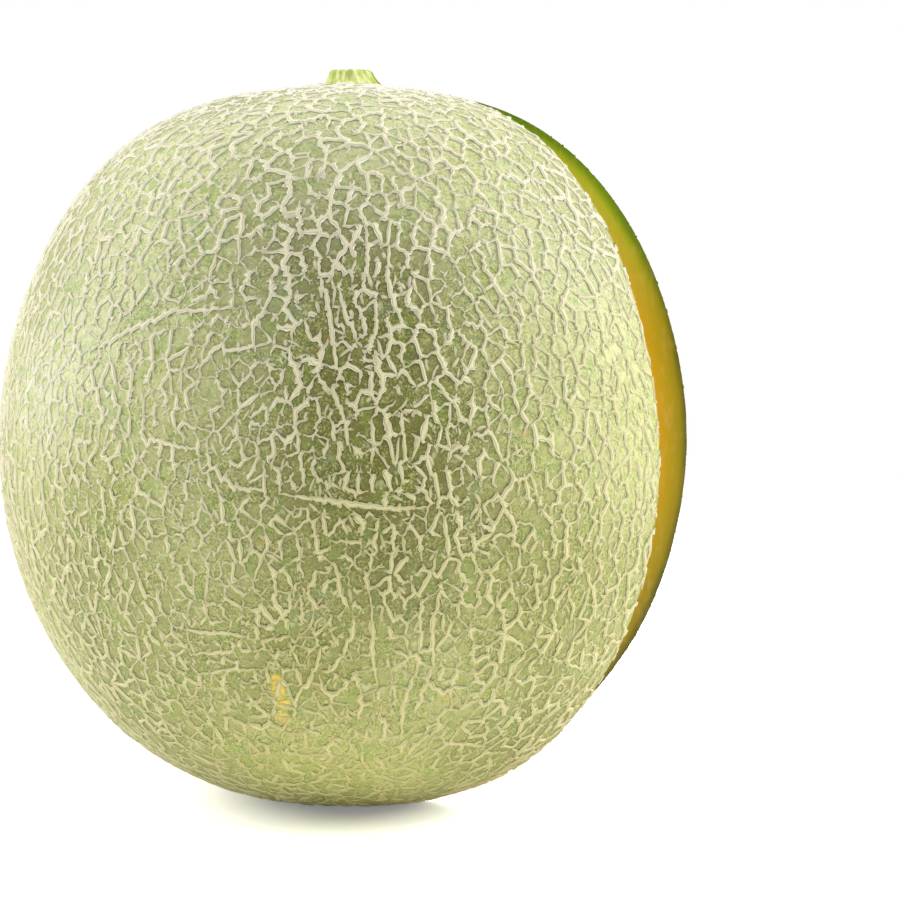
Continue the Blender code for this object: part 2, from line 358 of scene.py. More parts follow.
def regions(directions):
    """(stoutness, brokenness, darkness, yellowness) in each direction: slow noise all round, yellower
    towards the ground, and the named regions laid over it, each fading as a bell curve. Beside the
    cut on the +Y side the net is worn low."""
    around = directions * EQUATOR_RADIUS
    levels = []
    for level, swing, size, seed in SLOW_LEVELS:
        levels.append(level + swing * soft_noise(around, size * MM, seed))
    levels[3] -= YELLOWER_BELOW * directions[:, 2]
    for middle, (_, radius, *own) in zip(seen_at([row[0] for row in NET_REGIONS]), NET_REGIONS):
        distance = EQUATOR_RADIUS / MM * np.arccos(np.clip(directions @ middle, -1.0, 1.0))
        weight = np.exp(-((distance / radius) ** 2))
        levels = [level + (there - level) * weight for level, there in zip(levels, own)]
    from_cut = wedge_side(CENTRE + around) / (WORN_BESIDE_CUT * MM)
    worn = (1.0 - smooth_step(from_cut)) * (directions[:, 1] > 0.0)
    levels[0] *= 1.0 - WORN_AWAY * worn
    return [levels[0]] + [np.clip(level, 0.0, 1.0) for level in levels[1:]]


# Single cords that the photograph shows, as pixels along them and a half-width in millimetres.

SCARS = (
    (((288, 496), (312, 499), (335, 502), (362, 506), (392, 509), (422, 508)), 0.60),
    (((338, 542), (362, 543), (388, 543)), 0.40),
    (((322, 284), (328, 302), (331, 322), (333, 340), (335, 352)), 0.66),
    (((341, 298), (344, 312), (348, 322), (354, 332)), 0.50),
    (((366, 242), (368, 262), (364, 284)), 0.45),
    (((388, 262), (387, 276), (391, 298), (400, 318)), 0.58),
    (((376, 312), (376, 328), (370, 346), (364, 360)), 0.55),
    (((364, 360), (371, 376), (372, 388), (358, 398)), 0.55),
    (((322, 382), (332, 392), (340, 404), (343, 416)), 0.50),
    (((378, 346), (388, 358), (396, 372), (410, 378)), 0.45),
    (((272, 380), (285, 384), (286, 396), (268, 406), (256, 412)), 0.50),
    (((346, 428), (348, 442), (352, 460)), 0.44),
    (((392, 450), (394, 464), (402, 476)), 0.55),
    (((402, 420), (404, 434), (405, 448)), 0.50),
    (((429, 462), (434, 474), (438, 488)), 0.52),
    (((300, 458), (299, 470), (303, 482)), 0.44),
    (((361, 460), (359, 472), (358, 484)), 0.50),
    (((272, 444), (272, 460), (278, 474)), 0.52),
    (((314, 528), (317, 548), (320, 562), (314, 578), (308, 592)), 0.60),
    (((378, 524), (372, 540), (371, 560)), 0.58),
    (((446, 524), (446, 540), (449, 552)), 0.62),
    (((446, 564), (432, 572), (424, 586)), 0.50),
    (((392, 560), (392, 574), (390, 588)), 0.50),
    (((324, 562), (336, 568), (339, 586), (345, 602), (360, 608)), 0.54),
    (((84, 352), (110, 342), (130, 330), (158, 320), (170, 312), (200, 311), (240, 308)), 0.42),
    (((190, 366), (206, 360), (216, 348), (234, 350), (262, 344)), 0.40),
    (((142, 408), (142, 438), (160, 441), (172, 446), (192, 449)), 0.42),
    (((170, 386), (176, 404), (172, 420), (186, 425), (202, 429)), 0.40),
    (((206, 446), (208, 462), (220, 477), (234, 488), (256, 490)), 0.46),
    (((200, 653), (230, 651), (262, 649)), 0.42),
    (((180, 628), (204, 633), (228, 633), (250, 638)), 0.36),
    (((266, 640), (282, 637), (304, 636)), 0.36),
    (((205, 672), (232, 668), (262, 668)), 0.34),
    (((301, 600), (302, 616), (299, 632)), 0.52),
    (((318, 660), (311, 676), (300, 690)), 0.55),
    (((354, 614), (354, 628), (346, 646)), 0.55),
    (((372, 614), (373, 632), (372, 652), (376, 674)), 0.50),
    (((384, 598), (390, 614), (404, 621)), 0.50),
    (((438, 604), (433, 620), (432, 640), (433, 656)), 0.58),
    (((416, 668), (408, 686), (402, 704), (401, 724)), 0.55),
    (((362, 742), (362, 756), (376, 768), (398, 774)), 0.38),
    (((404, 752), (414, 738), (434, 726)), 0.45),
)
# Cells stand in pairs along such a cord: this far apart along it, and this far off it to each side.
SCAR_STEP = 2.6 * MM
SCAR_PAIR_APART = 1.0 * MM
CLEAR_OF_SCARS = 0.55  # how far other cells stay away, as a share of their usual spacing
SCAR_TAPER = 0.6
YELLOW_SPOTS = ((277, 679), (279, 688), (284, 700), (285, 714))
YELLOW_SPOT_RADIUS = 1.4 * MM


def scar_seeds(path):
    """Pairs of cell middles, mirrored across a path, so that the border between them runs along it."""
    corners = seen_at(path) * EQUATOR_RADIUS
    lengths = np.concatenate([[0.0], np.cumsum(np.linalg.norm(np.diff(corners, axis=0), axis=1))])
    count = max(int(round(lengths[-1] / SCAR_STEP)), 2)
    places = np.linspace(0.0, lengths[-1], count)
    along = np.stack([np.interp(places, lengths, corners[:, k]) for k in range(3)], axis=1)
    sideways = unit(np.cross(along, np.gradient(along, axis=0)))
    pairs = np.stack([along + SCAR_PAIR_APART * sideways, along - SCAR_PAIR_APART * sideways], axis=1)
    return unit(pairs.reshape(-1, 3))


def shaken_lattice(count, unevenness, seed):
    """Unit directions on a golden-angle spiral, each pushed aside by a random share of the spacing."""
    rng = np.random.default_rng(seed)
    steps = np.arange(count) + 0.5
    height = 1.0 - 2.0 * steps / count
    turn = steps * math.pi * (3.0 - math.sqrt(5.0))
    across = np.sqrt(1.0 - height**2)
    points = np.stack([across * np.cos(turn), across * np.sin(turn), height], axis=1)
    spacing = math.sqrt(4.0 * math.pi / count)
    return unit(points + unevenness * spacing * rng.uniform(-1.0, 1.0, (count, 3)))


def nearest(directions, places):
    """The index of the nearest place to each direction."""
    return (directions.astype(np.float32) @ places.astype(np.float32).T).argmax(axis=1)


def squashed(directions, amount):
    """Directions drawn towards the equator: their upright part times `amount`."""
    return unit(directions * [1.0, 1.0, amount])


def sphere_triangles(points):
    """Triangles between points on the unit sphere, facing out, with no other point inside any one's
    circle. The sphere is laid flat by rays from one of its points, which keeps circles round, so the
    flat triangles of the other points hold on the sphere too, and the sides of their outline are
    joined to the point itself."""
    pole = int(points[:, 0].argmax())
    axis = points[pole]
    sideways = unit(np.cross([0.0, 0.0, 1.0], axis))
    upwards = np.cross(axis, sideways)
    others = np.delete(np.arange(len(points)), pole)
    flat = np.stack([points[others] @ sideways, points[others] @ upwards], axis=1)
    flat /= 1.0 - points[others] @ axis[:, None]
    _, _, faces, sources, _, _ = delaunay_2d_cdt([Vector(p) for p in flat], [], [], 0, 1e-9)
    source = others[np.array([own[0] for own in sources])]
    triangles = source[np.array(faces)]
    starts, ends = triangles.ravel(), triangles[:, [1, 2, 0]].ravel()
    key, twin_key = starts * len(points) + ends, ends * len(points) + starts
    outline = ~np.isin(key, twin_key)
    closing = np.stack([ends[outline], starts[outline], np.full(outline.sum(), pole)], axis=1)
    triangles = np.concatenate([triangles, closing])
    a, b, c = (points[triangles[:, k]] for k in range(3))
    inward = np.einsum("ij,ij->i", np.cross(b - a, c - a), a) < 0.0
    triangles[inward] = triangles[inward][:, ::-1]
    return triangles


class Net:
    """The borders between cells on the sphere. A side is one cell's half of a border: it starts at
    crossing start[side] and ends at crossing end[side], anticlockwise round the cell cell[side]."""

    def __init__(self, middles):
        low = squashed(middles, CELL_SQUASH)
        triangles = sphere_triangles(low)
        a, b, c = (low[triangles[:, k]] for k in range(3))
        self.crossings = squashed(unit(np.cross(b - a, c - a)), 1.0 / CELL_SQUASH)
        self.cell = triangles.ravel()
        self.other = triangles[:, [1, 2, 0]].ravel()
        count = len(self.cell)
        key = self.cell * len(middles) + self.other
        order = np.argsort(key)
        self.twin = order[np.searchsorted(key[order], self.other * len(middles) + self.cell)]
        sides = np.arange(count)
        self.end = sides // 3
        self.start = self.end[self.twin]
        before = 3 * self.end + (sides + 2) % 3
        self.next = self.twin[before]
        self.last = np.empty(count, int)
        self.last[self.next] = sides
        self.first = np.flatnonzero(self.cell < self.other)
        self.border = np.empty(count, int)
        self.border[self.first] = np.arange(len(self.first))
        self.border[self.twin[self.first]] = np.arange(len(self.first))
        self.forward = self.cell < self.other
        corners = self.crossings[self.end]
        sums = [np.bincount(self.cell, corners[:, k], len(middles)) for k in range(3)]
        self.centres = unit(np.stack(sums, axis=1))


# What a border carries along its length, at its start, its two inner points and its end: nothing, a
# whole cord, a cord that tapers to a point, one that is parted, or a lens-shaped dash.

BARE, WHOLE, TAPERED, TAPERED_BACK, PARTED, PARTED_BACK, DASH = range(7)
CORD_PROFILES = np.array(
    [
        [0.0, 0.0, 0.0, 0.0],
        [1.0, 1.0, 1.0, 1.0],
        [1.0, 0.80, 0.18, 0.0],
        [0.0, 0.18, 0.80, 1.0],
        [1.0, 0.50, 0.0, 0.60],
        [0.60, 0.0, 0.50, 1.0],
        [0.0, 0.90, 0.90, 0.0],
    ]
)
# Each border draws a number from 0 to 1 and takes the last row whose limit that number is under. The
# limits of the stout borders, between two panes, are shares of how broken the net is there. Borders
# that lie down are more often broken, and narrower, than upright ones.
STOUT_KINDS = ((0.90, TAPERED), (0.50, PARTED), (0.32, DASH), (0.16, BARE))
THIN_KINDS = ((1.0, BARE), (0.55, DASH), (0.40, TAPERED))
THIN_WHOLE_SHARES = (0.14, 0.04)  # where the net is whole, and where it is broken
STOUT_HALF_WIDTHS = (0.24, 0.70)
THIN_HALF_WIDTHS = (0.15, 0.31)
RUNG_SHARE = 0.25  # of the borders between one pair along a scar and the next
BROKEN_BY_TILT = (1.35, 0.60)  # for a border that lies down, and for an upright one
WIDTH_BY_TILT = (0.85, 1.15)
SIZE_SWING = 0.30
SIZE_NOISE = 7.0
SIZE_SPREAD = 0.15
WIDTH_SPREAD = 0.20


def cord_widths(net, panes, scar_first, scar_number, scar_widths):
    """Half-width of the cork, in millimetres, at the four points of each border. scar_number and
    scar_widths belong to the pairs of cells along the scars."""
    rng = np.random.default_rng(NET_SEED + 3)
    count = len(net.first)
    one, other = net.cell[net.first], net.other[net.first]
    start, end = net.crossings[net.start[net.first]], net.crossings[net.end[net.first]]
    stout, broken, _, _ = regions(unit(start + end))
    upright = np.abs(unit(end - start + 1e-9)[:, 2])
    broken = broken * between(BROKEN_BY_TILT, upright)
    stout_border = panes[one] != panes[other]
    draw = rng.random(count)
    size = 0.5 + SIZE_SWING * soft_noise(start * EQUATOR_RADIUS, SIZE_NOISE * MM, 66)
    size = np.clip(size + rng.uniform(-SIZE_SPREAD, SIZE_SPREAD, count), 0.0, 1.0)
    kind = np.full(count, WHOLE)
    for limit, name in STOUT_KINDS:
        kind[stout_border & (draw < limit * broken)] = name
    for limit, name in THIN_KINDS:
        kind[~stout_border & (draw < limit) & (draw > between(THIN_WHOLE_SHARES, broken))] = name
    turned = ((kind == TAPERED) | (kind == PARTED)) & (rng.random(count) < 0.5)
    kind[turned] += 1
    stout_width, thin_width = between(STOUT_HALF_WIDTHS, size**2), between(THIN_HALF_WIDTHS, size)
    width = np.where(stout_border, stout_width, thin_width) * stout
    width *= between(WIDTH_BY_TILT, upright)
    last_pair = len(scar_number) - 1
    pair, other_pair = (np.clip((cell - scar_first) // 2, 0, last_pair) for cell in (one, other))
    beside_scar = (one >= scar_first) & (other >= scar_first)
    beside_scar &= (scar_number[pair] == scar_number[other_pair]) & (np.abs(pair - other_pair) < 2)
    kind[beside_scar & (draw > RUNG_SHARE)] = BARE
    scar = beside_scar & ((one - scar_first) % 2 != (other - scar_first) % 2)
    kind[scar] = WHOLE
    width[scar] = scar_widths[pair[scar]]
    widths = CORD_PROFILES[kind] * width[:, None]
    return widths * (1.0 + WIDTH_SPREAD * rng.uniform(-1.0, 1.0, widths.shape))


def cord_height(width):
    """How far a cord of this half-width stands above the skin, in millimetres."""
    return TALLEST_CORD * (1.0 - np.exp(-width / CORD_STEEPNESS))


def on_skin(directions, height):
    """Points this many millimetres above the skin. The skin lies under the outline by the tallest
    cord, sinks a little in broad shallow dents and rises in a low collar round the stalk."""
    around = directions * EQUATOR_RADIUS
    dents = LUMP_DEPTH * (1.0 - np.clip(soft_noise(around, LUMP_SIZE * MM, 71), -1.0, 1.0))
    from_axis = np.hypot(directions[:, 0], directions[:, 1]) * POLE_RADIUS / MM
    collar = smooth_step((COLLAR_REACH - from_axis) / COLLAR_SLOPE) * (directions[:, 2] > 0.0)
    collar = COLLAR_HEIGHT * collar
    reach = crest_reach(directions) + (height - TALLEST_CORD - dents + collar) * MM
    return CENTRE + directions * reach[:, None]


def pane_middles():
    """Middles of the wide panes. Some are left out at random, more in some places than in others, so
    that their neighbours grow into the room."""
    places = shaken_lattice(MESH_PANES, PANE_UNEVENNESS, NET_SEED + 1)
    rng = np.random.default_rng(NET_SEED + 2)
    kept = 0.80 + 0.16 * soft_noise(places * EQUATOR_RADIUS, 22 * MM, 65)
    return places[rng.random(len(places)) < kept]


def scattered_cells():
    """(middles of all cells, number of the first cell along a scar, the scar of each pair of cells, the
    half-width of the cork there). A scar is widest half-way: its half-width follows a sine, raised to
    a power under 1."""
    scars = [scar_seeds(path) for path, _ in SCARS]
    paired = np.concatenate(scars)
    counts = [len(seeds) // 2 for seeds in scars]
    swells = [np.sin(math.pi * (np.arange(n) + 0.7) / (n + 0.4)) ** SCAR_TAPER for n in counts]
    scar_widths = np.concatenate([width * swell for swell, (_, width) in zip(swells, SCARS)])
    loose = shaken_lattice(NET_CELLS, CELL_UNEVENNESS, NET_SEED)
    spacing = math.sqrt(4.0 * math.pi / NET_CELLS)
    clear = (loose @ paired.T).max(axis=1) < math.cos(CLEAR_OF_SCARS * spacing)
    scar_number = np.repeat(np.arange(len(SCARS)), counts)
    return np.concatenate([loose[clear], paired]), int(clear.sum()), scar_number, scar_widths


def crossing_widths(net, widths):
    """Half-width of the cork at each crossing: the second widest of its three borders', or half the
    widest one's if that is more, and none under the stalk."""
    arriving = np.where(net.forward, widths[net.border, 3], widths[net.border, 0])
    arriving = np.sort(arriving.reshape(-1, 3), axis=1)
    width = np.maximum(arriving[:, 1], 0.5 * arriving[:, 2])
    across = np.hypot(net.crossings[:, 0], net.crossings[:, 1]) * POLE_RADIUS
    width[(net.crossings[:, 2] > 0.0) & (across < BARE_UNDER_STALK * MM)] = 0.0
    return width


def side_measures(net):
    """For each side: its length, how far its cell's centre lies off its line, and how far along that
    line the centre lies from the side's middle."""
    p, q = net.crossings[net.start], net.crossings[net.end]
    centres = net.centres[net.cell]
    length = np.linalg.norm(q - p, axis=1)
    off = np.linalg.norm(np.cross(q - p, centres - p), axis=1) / np.maximum(length, 1e-6)
    askew = np.abs(((centres - 0.5 * (p + q)) * (q - p)).sum(axis=1)) / np.maximum(length, 1e-6)
    return length, off, askew


def inner_points(net, side_length, off, askew, rng):
    """The two inner points of each border: a third and two thirds along it, slid a little and pushed
    to opposite sides, only so far that both cells' centres still face all of it."""
    start, end = net.crossings[net.start[net.first]], net.crossings[net.end[net.first]]
    length = np.linalg.norm(end - start, axis=1)[:, None]
    sideways = np.cross(unit(start + end), unit(end - start + 1e-9))
    room = off * np.minimum(BEND_ROOM, BEND_ASKEW * side_length / np.maximum(askew, 1e-6))
    room = np.minimum(room[net.first], room[net.twin[net.first]])[:, None]
    bend = np.minimum(np.minimum(CORD_BEND * length, LONGEST_BEND * MM / EQUATOR_RADIUS), room)
    bend = bend * rng.choice([-1.0, 1.0], length.shape)
    inner = []
    for share, turn in ((1.0 / 3.0, 1.0), (2.0 / 3.0, -1.0)):
        slide = share + rng.uniform(-INNER_POINT_SLIDE, INNER_POINT_SLIDE, length.shape)
        push = turn * rng.uniform(0.0, 1.0, length.shape)
        inner.append(start + (end - start) * slide + sideways * bend * push)
    return unit(np.stack(inner, axis=1))


def border_line(net, widths, inner):
    """(the points of all borders, the half-width of the cork at each, the numbers of the three that
    each side passes: the crossing it starts at and its border's two inner points)."""
    points = np.concatenate([net.crossings, inner.reshape(-1, 3)])
    width = np.concatenate([crossing_widths(net, widths), widths[:, 1:3].ravel()])
    inner_first = len(net.crossings) + 2 * net.border
    step = np.where(net.forward, 0, 1)
    return points, width, np.stack([net.start, inner_first + step, inner_first + 1 - step], axis=1)


def foot_shares(net, width, side_length, pull, scar_first, rng):
    """How far towards its cell's centre the cord's foot lies, as a share, at each point of each side:
    the half-width, ragged and with a spur here and there, times the pull, which is one over the
    centre's distance. More cork gathers in the corners, and a scar is nearly smooth."""
    weight = side_length + 1e-6
    corner_pull = (weight * pull + weight[net.last] * pull[net.last]) / (weight + weight[net.last])
    ragged = 1.0 + CORD_RAGGEDNESS * rng.uniform(-1.0, 1.0, width.shape)
    ragged[:, 1:][rng.random((len(width), 2)) < SPUR_SHARE] *= SPUR_REACH
    on_scar = (net.cell >= scar_first) & (net.other >= scar_first)
    ragged[on_scar] = 1.0 + SCAR_RAGGEDNESS * (ragged[on_scar] - 1.0)
    ragged[~on_scar, 0] *= CORNER_FILLET
    inset = np.maximum(width * ragged, LEAST_INSET)
    return np.clip(inset * np.stack([corner_pull, pull, pull], axis=1), 0.0, DEEPEST_FOOT)


def ring_triangles(net, rings, centre_first):
    """Triangles from each ring to the next one in, and from the last ring to its cell's centre, with
    the cell of each. A ring is the numbers of its three points for each side and of the points that
    follow them round the cell."""
    triangles = []
    for (here, ahead), (inside, inside_ahead) in zip(rings, rings[1:]):
        triangles.append(np.stack([here, ahead, inside_ahead], axis=-1).reshape(-1, 3))
        triangles.append(np.stack([here, inside_ahead, inside], axis=-1).reshape(-1, 3))
    centre = np.repeat(centre_first + net.cell[:, None], 3, axis=1)
    triangles.append(np.stack([*rings[-1], centre], axis=-1).reshape(-1, 3))
    return np.concatenate(triangles), np.tile(np.repeat(net.cell, 3), len(triangles))


def painted(directions, cork, split, foot, yellow):
    """What the rind's material reads: under "net" how far a point is cork, in the split (tan with
    painted shade), at a cord's foot (painted shadow) and on dark skin, and under "skin" how far it is
    on a yellow spot and on the warm side."""
    _, _, dark, warm = regions(directions)
    skin = np.stack([yellow, warm, np.zeros(len(warm)), np.ones(len(warm))], axis=1)
    return {"net": np.stack([cork, split, foot, dark], axis=1), "skin": skin}


def net_surface():
    """(points, triangles, cell of each triangle, net and skin values, cell centres) of the whole rind.

    Each cell has five rings: its border, which is the split down the cord's middle; the cord's lip;
    its foot; a ring half-way over the skin; and the cell's centre. A ring is the border drawn in
    towards the centre by the share that moves each side in by the width wanted. The height over the
    skin is the cord's on the lip, a little less in the split and nothing at the foot, and the skin
    swells towards the centre.
    """
    middles, scar_first, scar_number, scar_widths = scattered_cells()
    panes = nearest(squashed(middles, CELL_SQUASH), squashed(pane_middles(), CELL_SQUASH))
    net = Net(middles)
    widths = cord_widths(net, panes, scar_first, scar_number, scar_widths)
    side_length, off, askew = side_measures(net)
    rng = np.random.default_rng(NET_SEED + 5)
    inner = inner_points(net, side_length, off, askew, rng)
    border_points, border_width, ring_of = border_line(net, widths, inner)
    base, width = border_points[ring_of], border_width[ring_of]
    pull = 1.0 / np.maximum(off * EQUATOR_RADIUS / MM, NARROWEST_CELL)
    foot_share = foot_shares(net, width, side_length, pull, scar_first, rng)[..., None]
    towards = net.centres[net.cell][:, None, :] - base
    lip = unit(base + towards * foot_share * LIP_PLACE)
    foot = unit(base + towards * foot_share)
    halfway = unit(base + towards * (foot_share + (1.0 - foot_share) * HALFWAY))

    mean_pull = np.bincount(net.cell, pull) / np.bincount(net.cell)
    dome = CELL_DOME * np.clip(DOME_PER_MM / mean_pull, *DOME_LIMITS)
    side_dome = dome[net.cell][:, None]
    there, border_there = (np.clip(w / COVERING_WIDTH, 0.0, 1.0) for w in (width, border_width))
    border_share, lip_share, low_share, halfway_share = DOME_SHARES
    border_height = cord_height(border_width) * (1.0 - GROOVE_SHARE)
    rows = (
        (border_points, border_height + (1.0 - border_there) * border_share * CELL_DOME),
        (lip, cord_height(width) + (1.0 - there) * lip_share * side_dome),
        (foot, (1.0 - there) * low_share * side_dome),
        (halfway, np.repeat(halfway_share * side_dome, 3, axis=1)),
        (net.centres, dome),
    )
    directions = np.concatenate([place.reshape(-1, 3) for place, _ in rows])
    above_skin = np.concatenate([height.ravel() for _, height in rows])

    following = np.concatenate([ring_of[:, 1:], net.end[:, None]], axis=1)
    rings = [(ring_of, following)]
    places = np.arange(width.size).reshape(-1, 3)
    following = np.concatenate([places[:, 1:], 3 * net.next[:, None]], axis=1)
    for number in range(3):
        first = len(border_points) + number * width.size
        rings.append((first + places, first + following))
    triangles, owner = ring_triangles(net, rings, len(border_points) + 3 * width.size)

    at_border, none, at_centres = (np.zeros(n) for n in (len(border_width), width.size, len(middles)))
    cork = np.concatenate([border_there, there.ravel(), none, none, at_centres])
    in_split = np.clip(border_width / SPLIT_WIDTH, 0.0, 1.0)
    split = np.concatenate([in_split, none, none, none, at_centres])
    # The painted shadow along each cord's foot: on the foot ring, as strong as the cord there is wide.
    painted_foot_shadow = np.concatenate([at_border, none, there.ravel(), none, at_centres])
    from_spot = np.arccos(np.clip((directions @ seen_at(YELLOW_SPOTS).T).max(axis=1), -1.0, 1.0))
    yellow = np.exp(-((from_spot * EQUATOR_RADIUS / YELLOW_SPOT_RADIUS) ** 6))
    values = painted(directions, cork, split, painted_foot_shadow, yellow)
    values = np.concatenate([values["net"], values["skin"]], axis=1)
    return on_skin(directions, above_skin), triangles, owner, values, net.centres


def wedge_side(points):
    """Positive outside the cut wedge, 0 on its two knife planes and negative inside it."""
    return np.abs(points[:, 1]) - math.tan(HALF_WEDGE) * (points[:, 0] - WEDGE_APEX_X)


ON_KNIFE = 0.01 * MM  # a point this near a knife plane counts as on it


def without_wedge(points, triangles, owner, values):
    """The surface with the wedge cut away, and the indices of its points on the knife planes. A
    triangle that crosses a plane has one corner alone on its side of it, and is cut where the two
    edges from that corner cross the plane, in proportion to their ends' distances."""
    side = wedge_side(points)
    side[np.abs(side) < ON_KNIFE] = 0.0
    kept = side >= 0.0
    kept_corners = kept[triangles].sum(axis=1)
    whole = kept_corners == 3
    crossing = np.concatenate([np.flatnonzero(kept_corners == 1), np.flatnonzero(kept_corners == 2)])
    crossed, owned, one_kept = triangles[crossing], owner[crossing], kept_corners[crossing] == 1
    alone = (kept[crossed] == one_kept[:, None]).argmax(axis=1)
    a, b, c = crossed[np.arange(len(crossed))[:, None], (alone[:, None] + np.arange(3)) % 3].T

    ends = np.concatenate([np.stack([a, b], axis=1), np.stack([a, c], axis=1)])
    ends = np.where(kept[ends[:, :1]], ends, ends[:, ::-1])
    edges, index = np.unique(ends[:, 0] * len(points) + ends[:, 1], return_inverse=True)
    inside, outside = edges // len(points), edges % len(points)
    share = (side[inside] / (side[inside] - side[outside]))[:, None]
    numbers = np.where(side[inside] == 0.0, inside, len(points) + np.arange(len(edges)))
    ab, ac = numbers[index.reshape(2, -1)]
    points = np.concatenate([points, points[inside] + share * (points[outside] - points[inside])])
    values = np.concatenate([values, values[inside] + share * (values[outside] - values[inside])])

    tips = np.stack([a, ab, ac], axis=1)[one_kept]
    near_halves = np.stack([ab, b, c], axis=1)[~one_kept]
    far_halves = np.stack([ab, c, ac], axis=1)[~one_kept]
    triangles = np.concatenate([triangles[whole], tips, near_halves, far_halves])
    owner = np.concatenate([owner[whole], owned[one_kept], owned[~one_kept], owned[~one_kept]])
    a, b, c = triangles.T
    sound = (a != b) & (b != c) & (c != a)
    on_plane = np.concatenate([side == 0.0, side[inside] != 0.0])
    used = np.zeros(len(points), bool)
    used[triangles[sound].ravel()] = True
    return points, triangles[sound], owner[sound], values, np.flatnonzero(on_plane & used)


def netted_rind(finish):
    """The rind in a few pieces side by side, each a sector of whole cells, and the rim that the knife
    cuts left on it."""
    points, triangles, owner, values, centres = net_surface()
    points, triangles, owner, values, rim = without_wedge(points, triangles, owner, values)
    normals = point_normals(points, triangles)
    turn = np.mod(np.arctan2(centres[:, 1], centres[:, 0]), 2.0 * math.pi)
    share = (turn - HALF_WEDGE) / (2.0 * math.pi - 2.0 * HALF_WEDGE)
    sector = np.clip((share * RIND_PIECES).astype(int), 0, RIND_PIECES - 1)[owner]
    pieces = []
    for number in range(RIND_PIECES):
        used, index = np.unique(triangles[sector == number], return_inverse=True)
        own = {"net": values[used, :4], "skin": values[used, 4:]}
        faces = index.reshape(-1, 3)
        pieces.append(build(f"rind_{number + 1}", points[used], faces, finish, own, normals[used]))
    return pieces, points[rim]


SLIVERS = 6000  # of which those stay that fall on broken net, clear of the cut and the stalk
SLIVER_CHANCE = (0.45, 1.20)  # where the net is whole, and where it is broken
SLIVER_CLEAR_OF_CUT = 2.5 * MM
SLIVER_CLEAR_OF_STALK = 9.0 * MM
SLIVER_CLEAR_OF_FLOOR = 17.0 * MM
SLIVER_LENGTHS = (1.3, 3.5)
SLIVER_HALF_WIDTHS = (0.16, 0.33)
SLIVER_TILT = 0.70
SLIVER_BOW = 0.22
SLIVER_RAGGEDNESS = 0.18
SLIVER_HEIGHT_SHARE = 0.85  # of a cord of the same width
SLIVER_LIFT = 0.06
SLIVER_STATIONS = np.array([-0.62, -0.20, 0.20, 0.62])
SLIVER_LANES = np.array([-1.0, -0.76, 0.0, 0.76, 1.0])
SLIVER_LIP = np.array([0.0, 1.0, 0.72, 1.0, 0.0])


def sliver_triangles():
    """One sliver's triangles: five lanes at each of four stations, a point at both tips and a flat
    underside."""
    last = 5 * (len(SLIVER_STATIONS) - 1)
    start, end = last + 5, last + 6
    faces = []
    for station in range(0, last, 5):
        for lane in range(4):
            here = station + lane
            faces += [(here, here + 5, here + 6), (here, here + 6, here + 1)]
        faces += [(station + 4, station + 9, station + 5), (station + 4, station + 5, station)]
    for lane in range(4):
        faces += [(start, lane, lane + 1), (end, last + lane + 1, last + lane)]
    return np.array(faces + [(start, 4, 0), (end, last, last + 4)])


def sliver_middles(rng):
    """(directions of the slivers' middles, how stout the net is there)."""
    middles = unit(rng.normal(size=(SLIVERS, 3)))
    stout, broken, _, _ = regions(middles)
    places = on_skin(middles, np.zeros(SLIVERS))
    clear = np.where(middles[:, 2] > 0.0, SLIVER_CLEAR_OF_STALK, SLIVER_CLEAR_OF_FLOOR)
    kept = wedge_side(places) > SLIVER_CLEAR_OF_CUT
    kept &= np.hypot(places[:, 0], places[:, 1]) > clear
    kept &= rng.random(SLIVERS) < between(SLIVER_CHANCE, broken)
    return middles[kept], stout[kept]


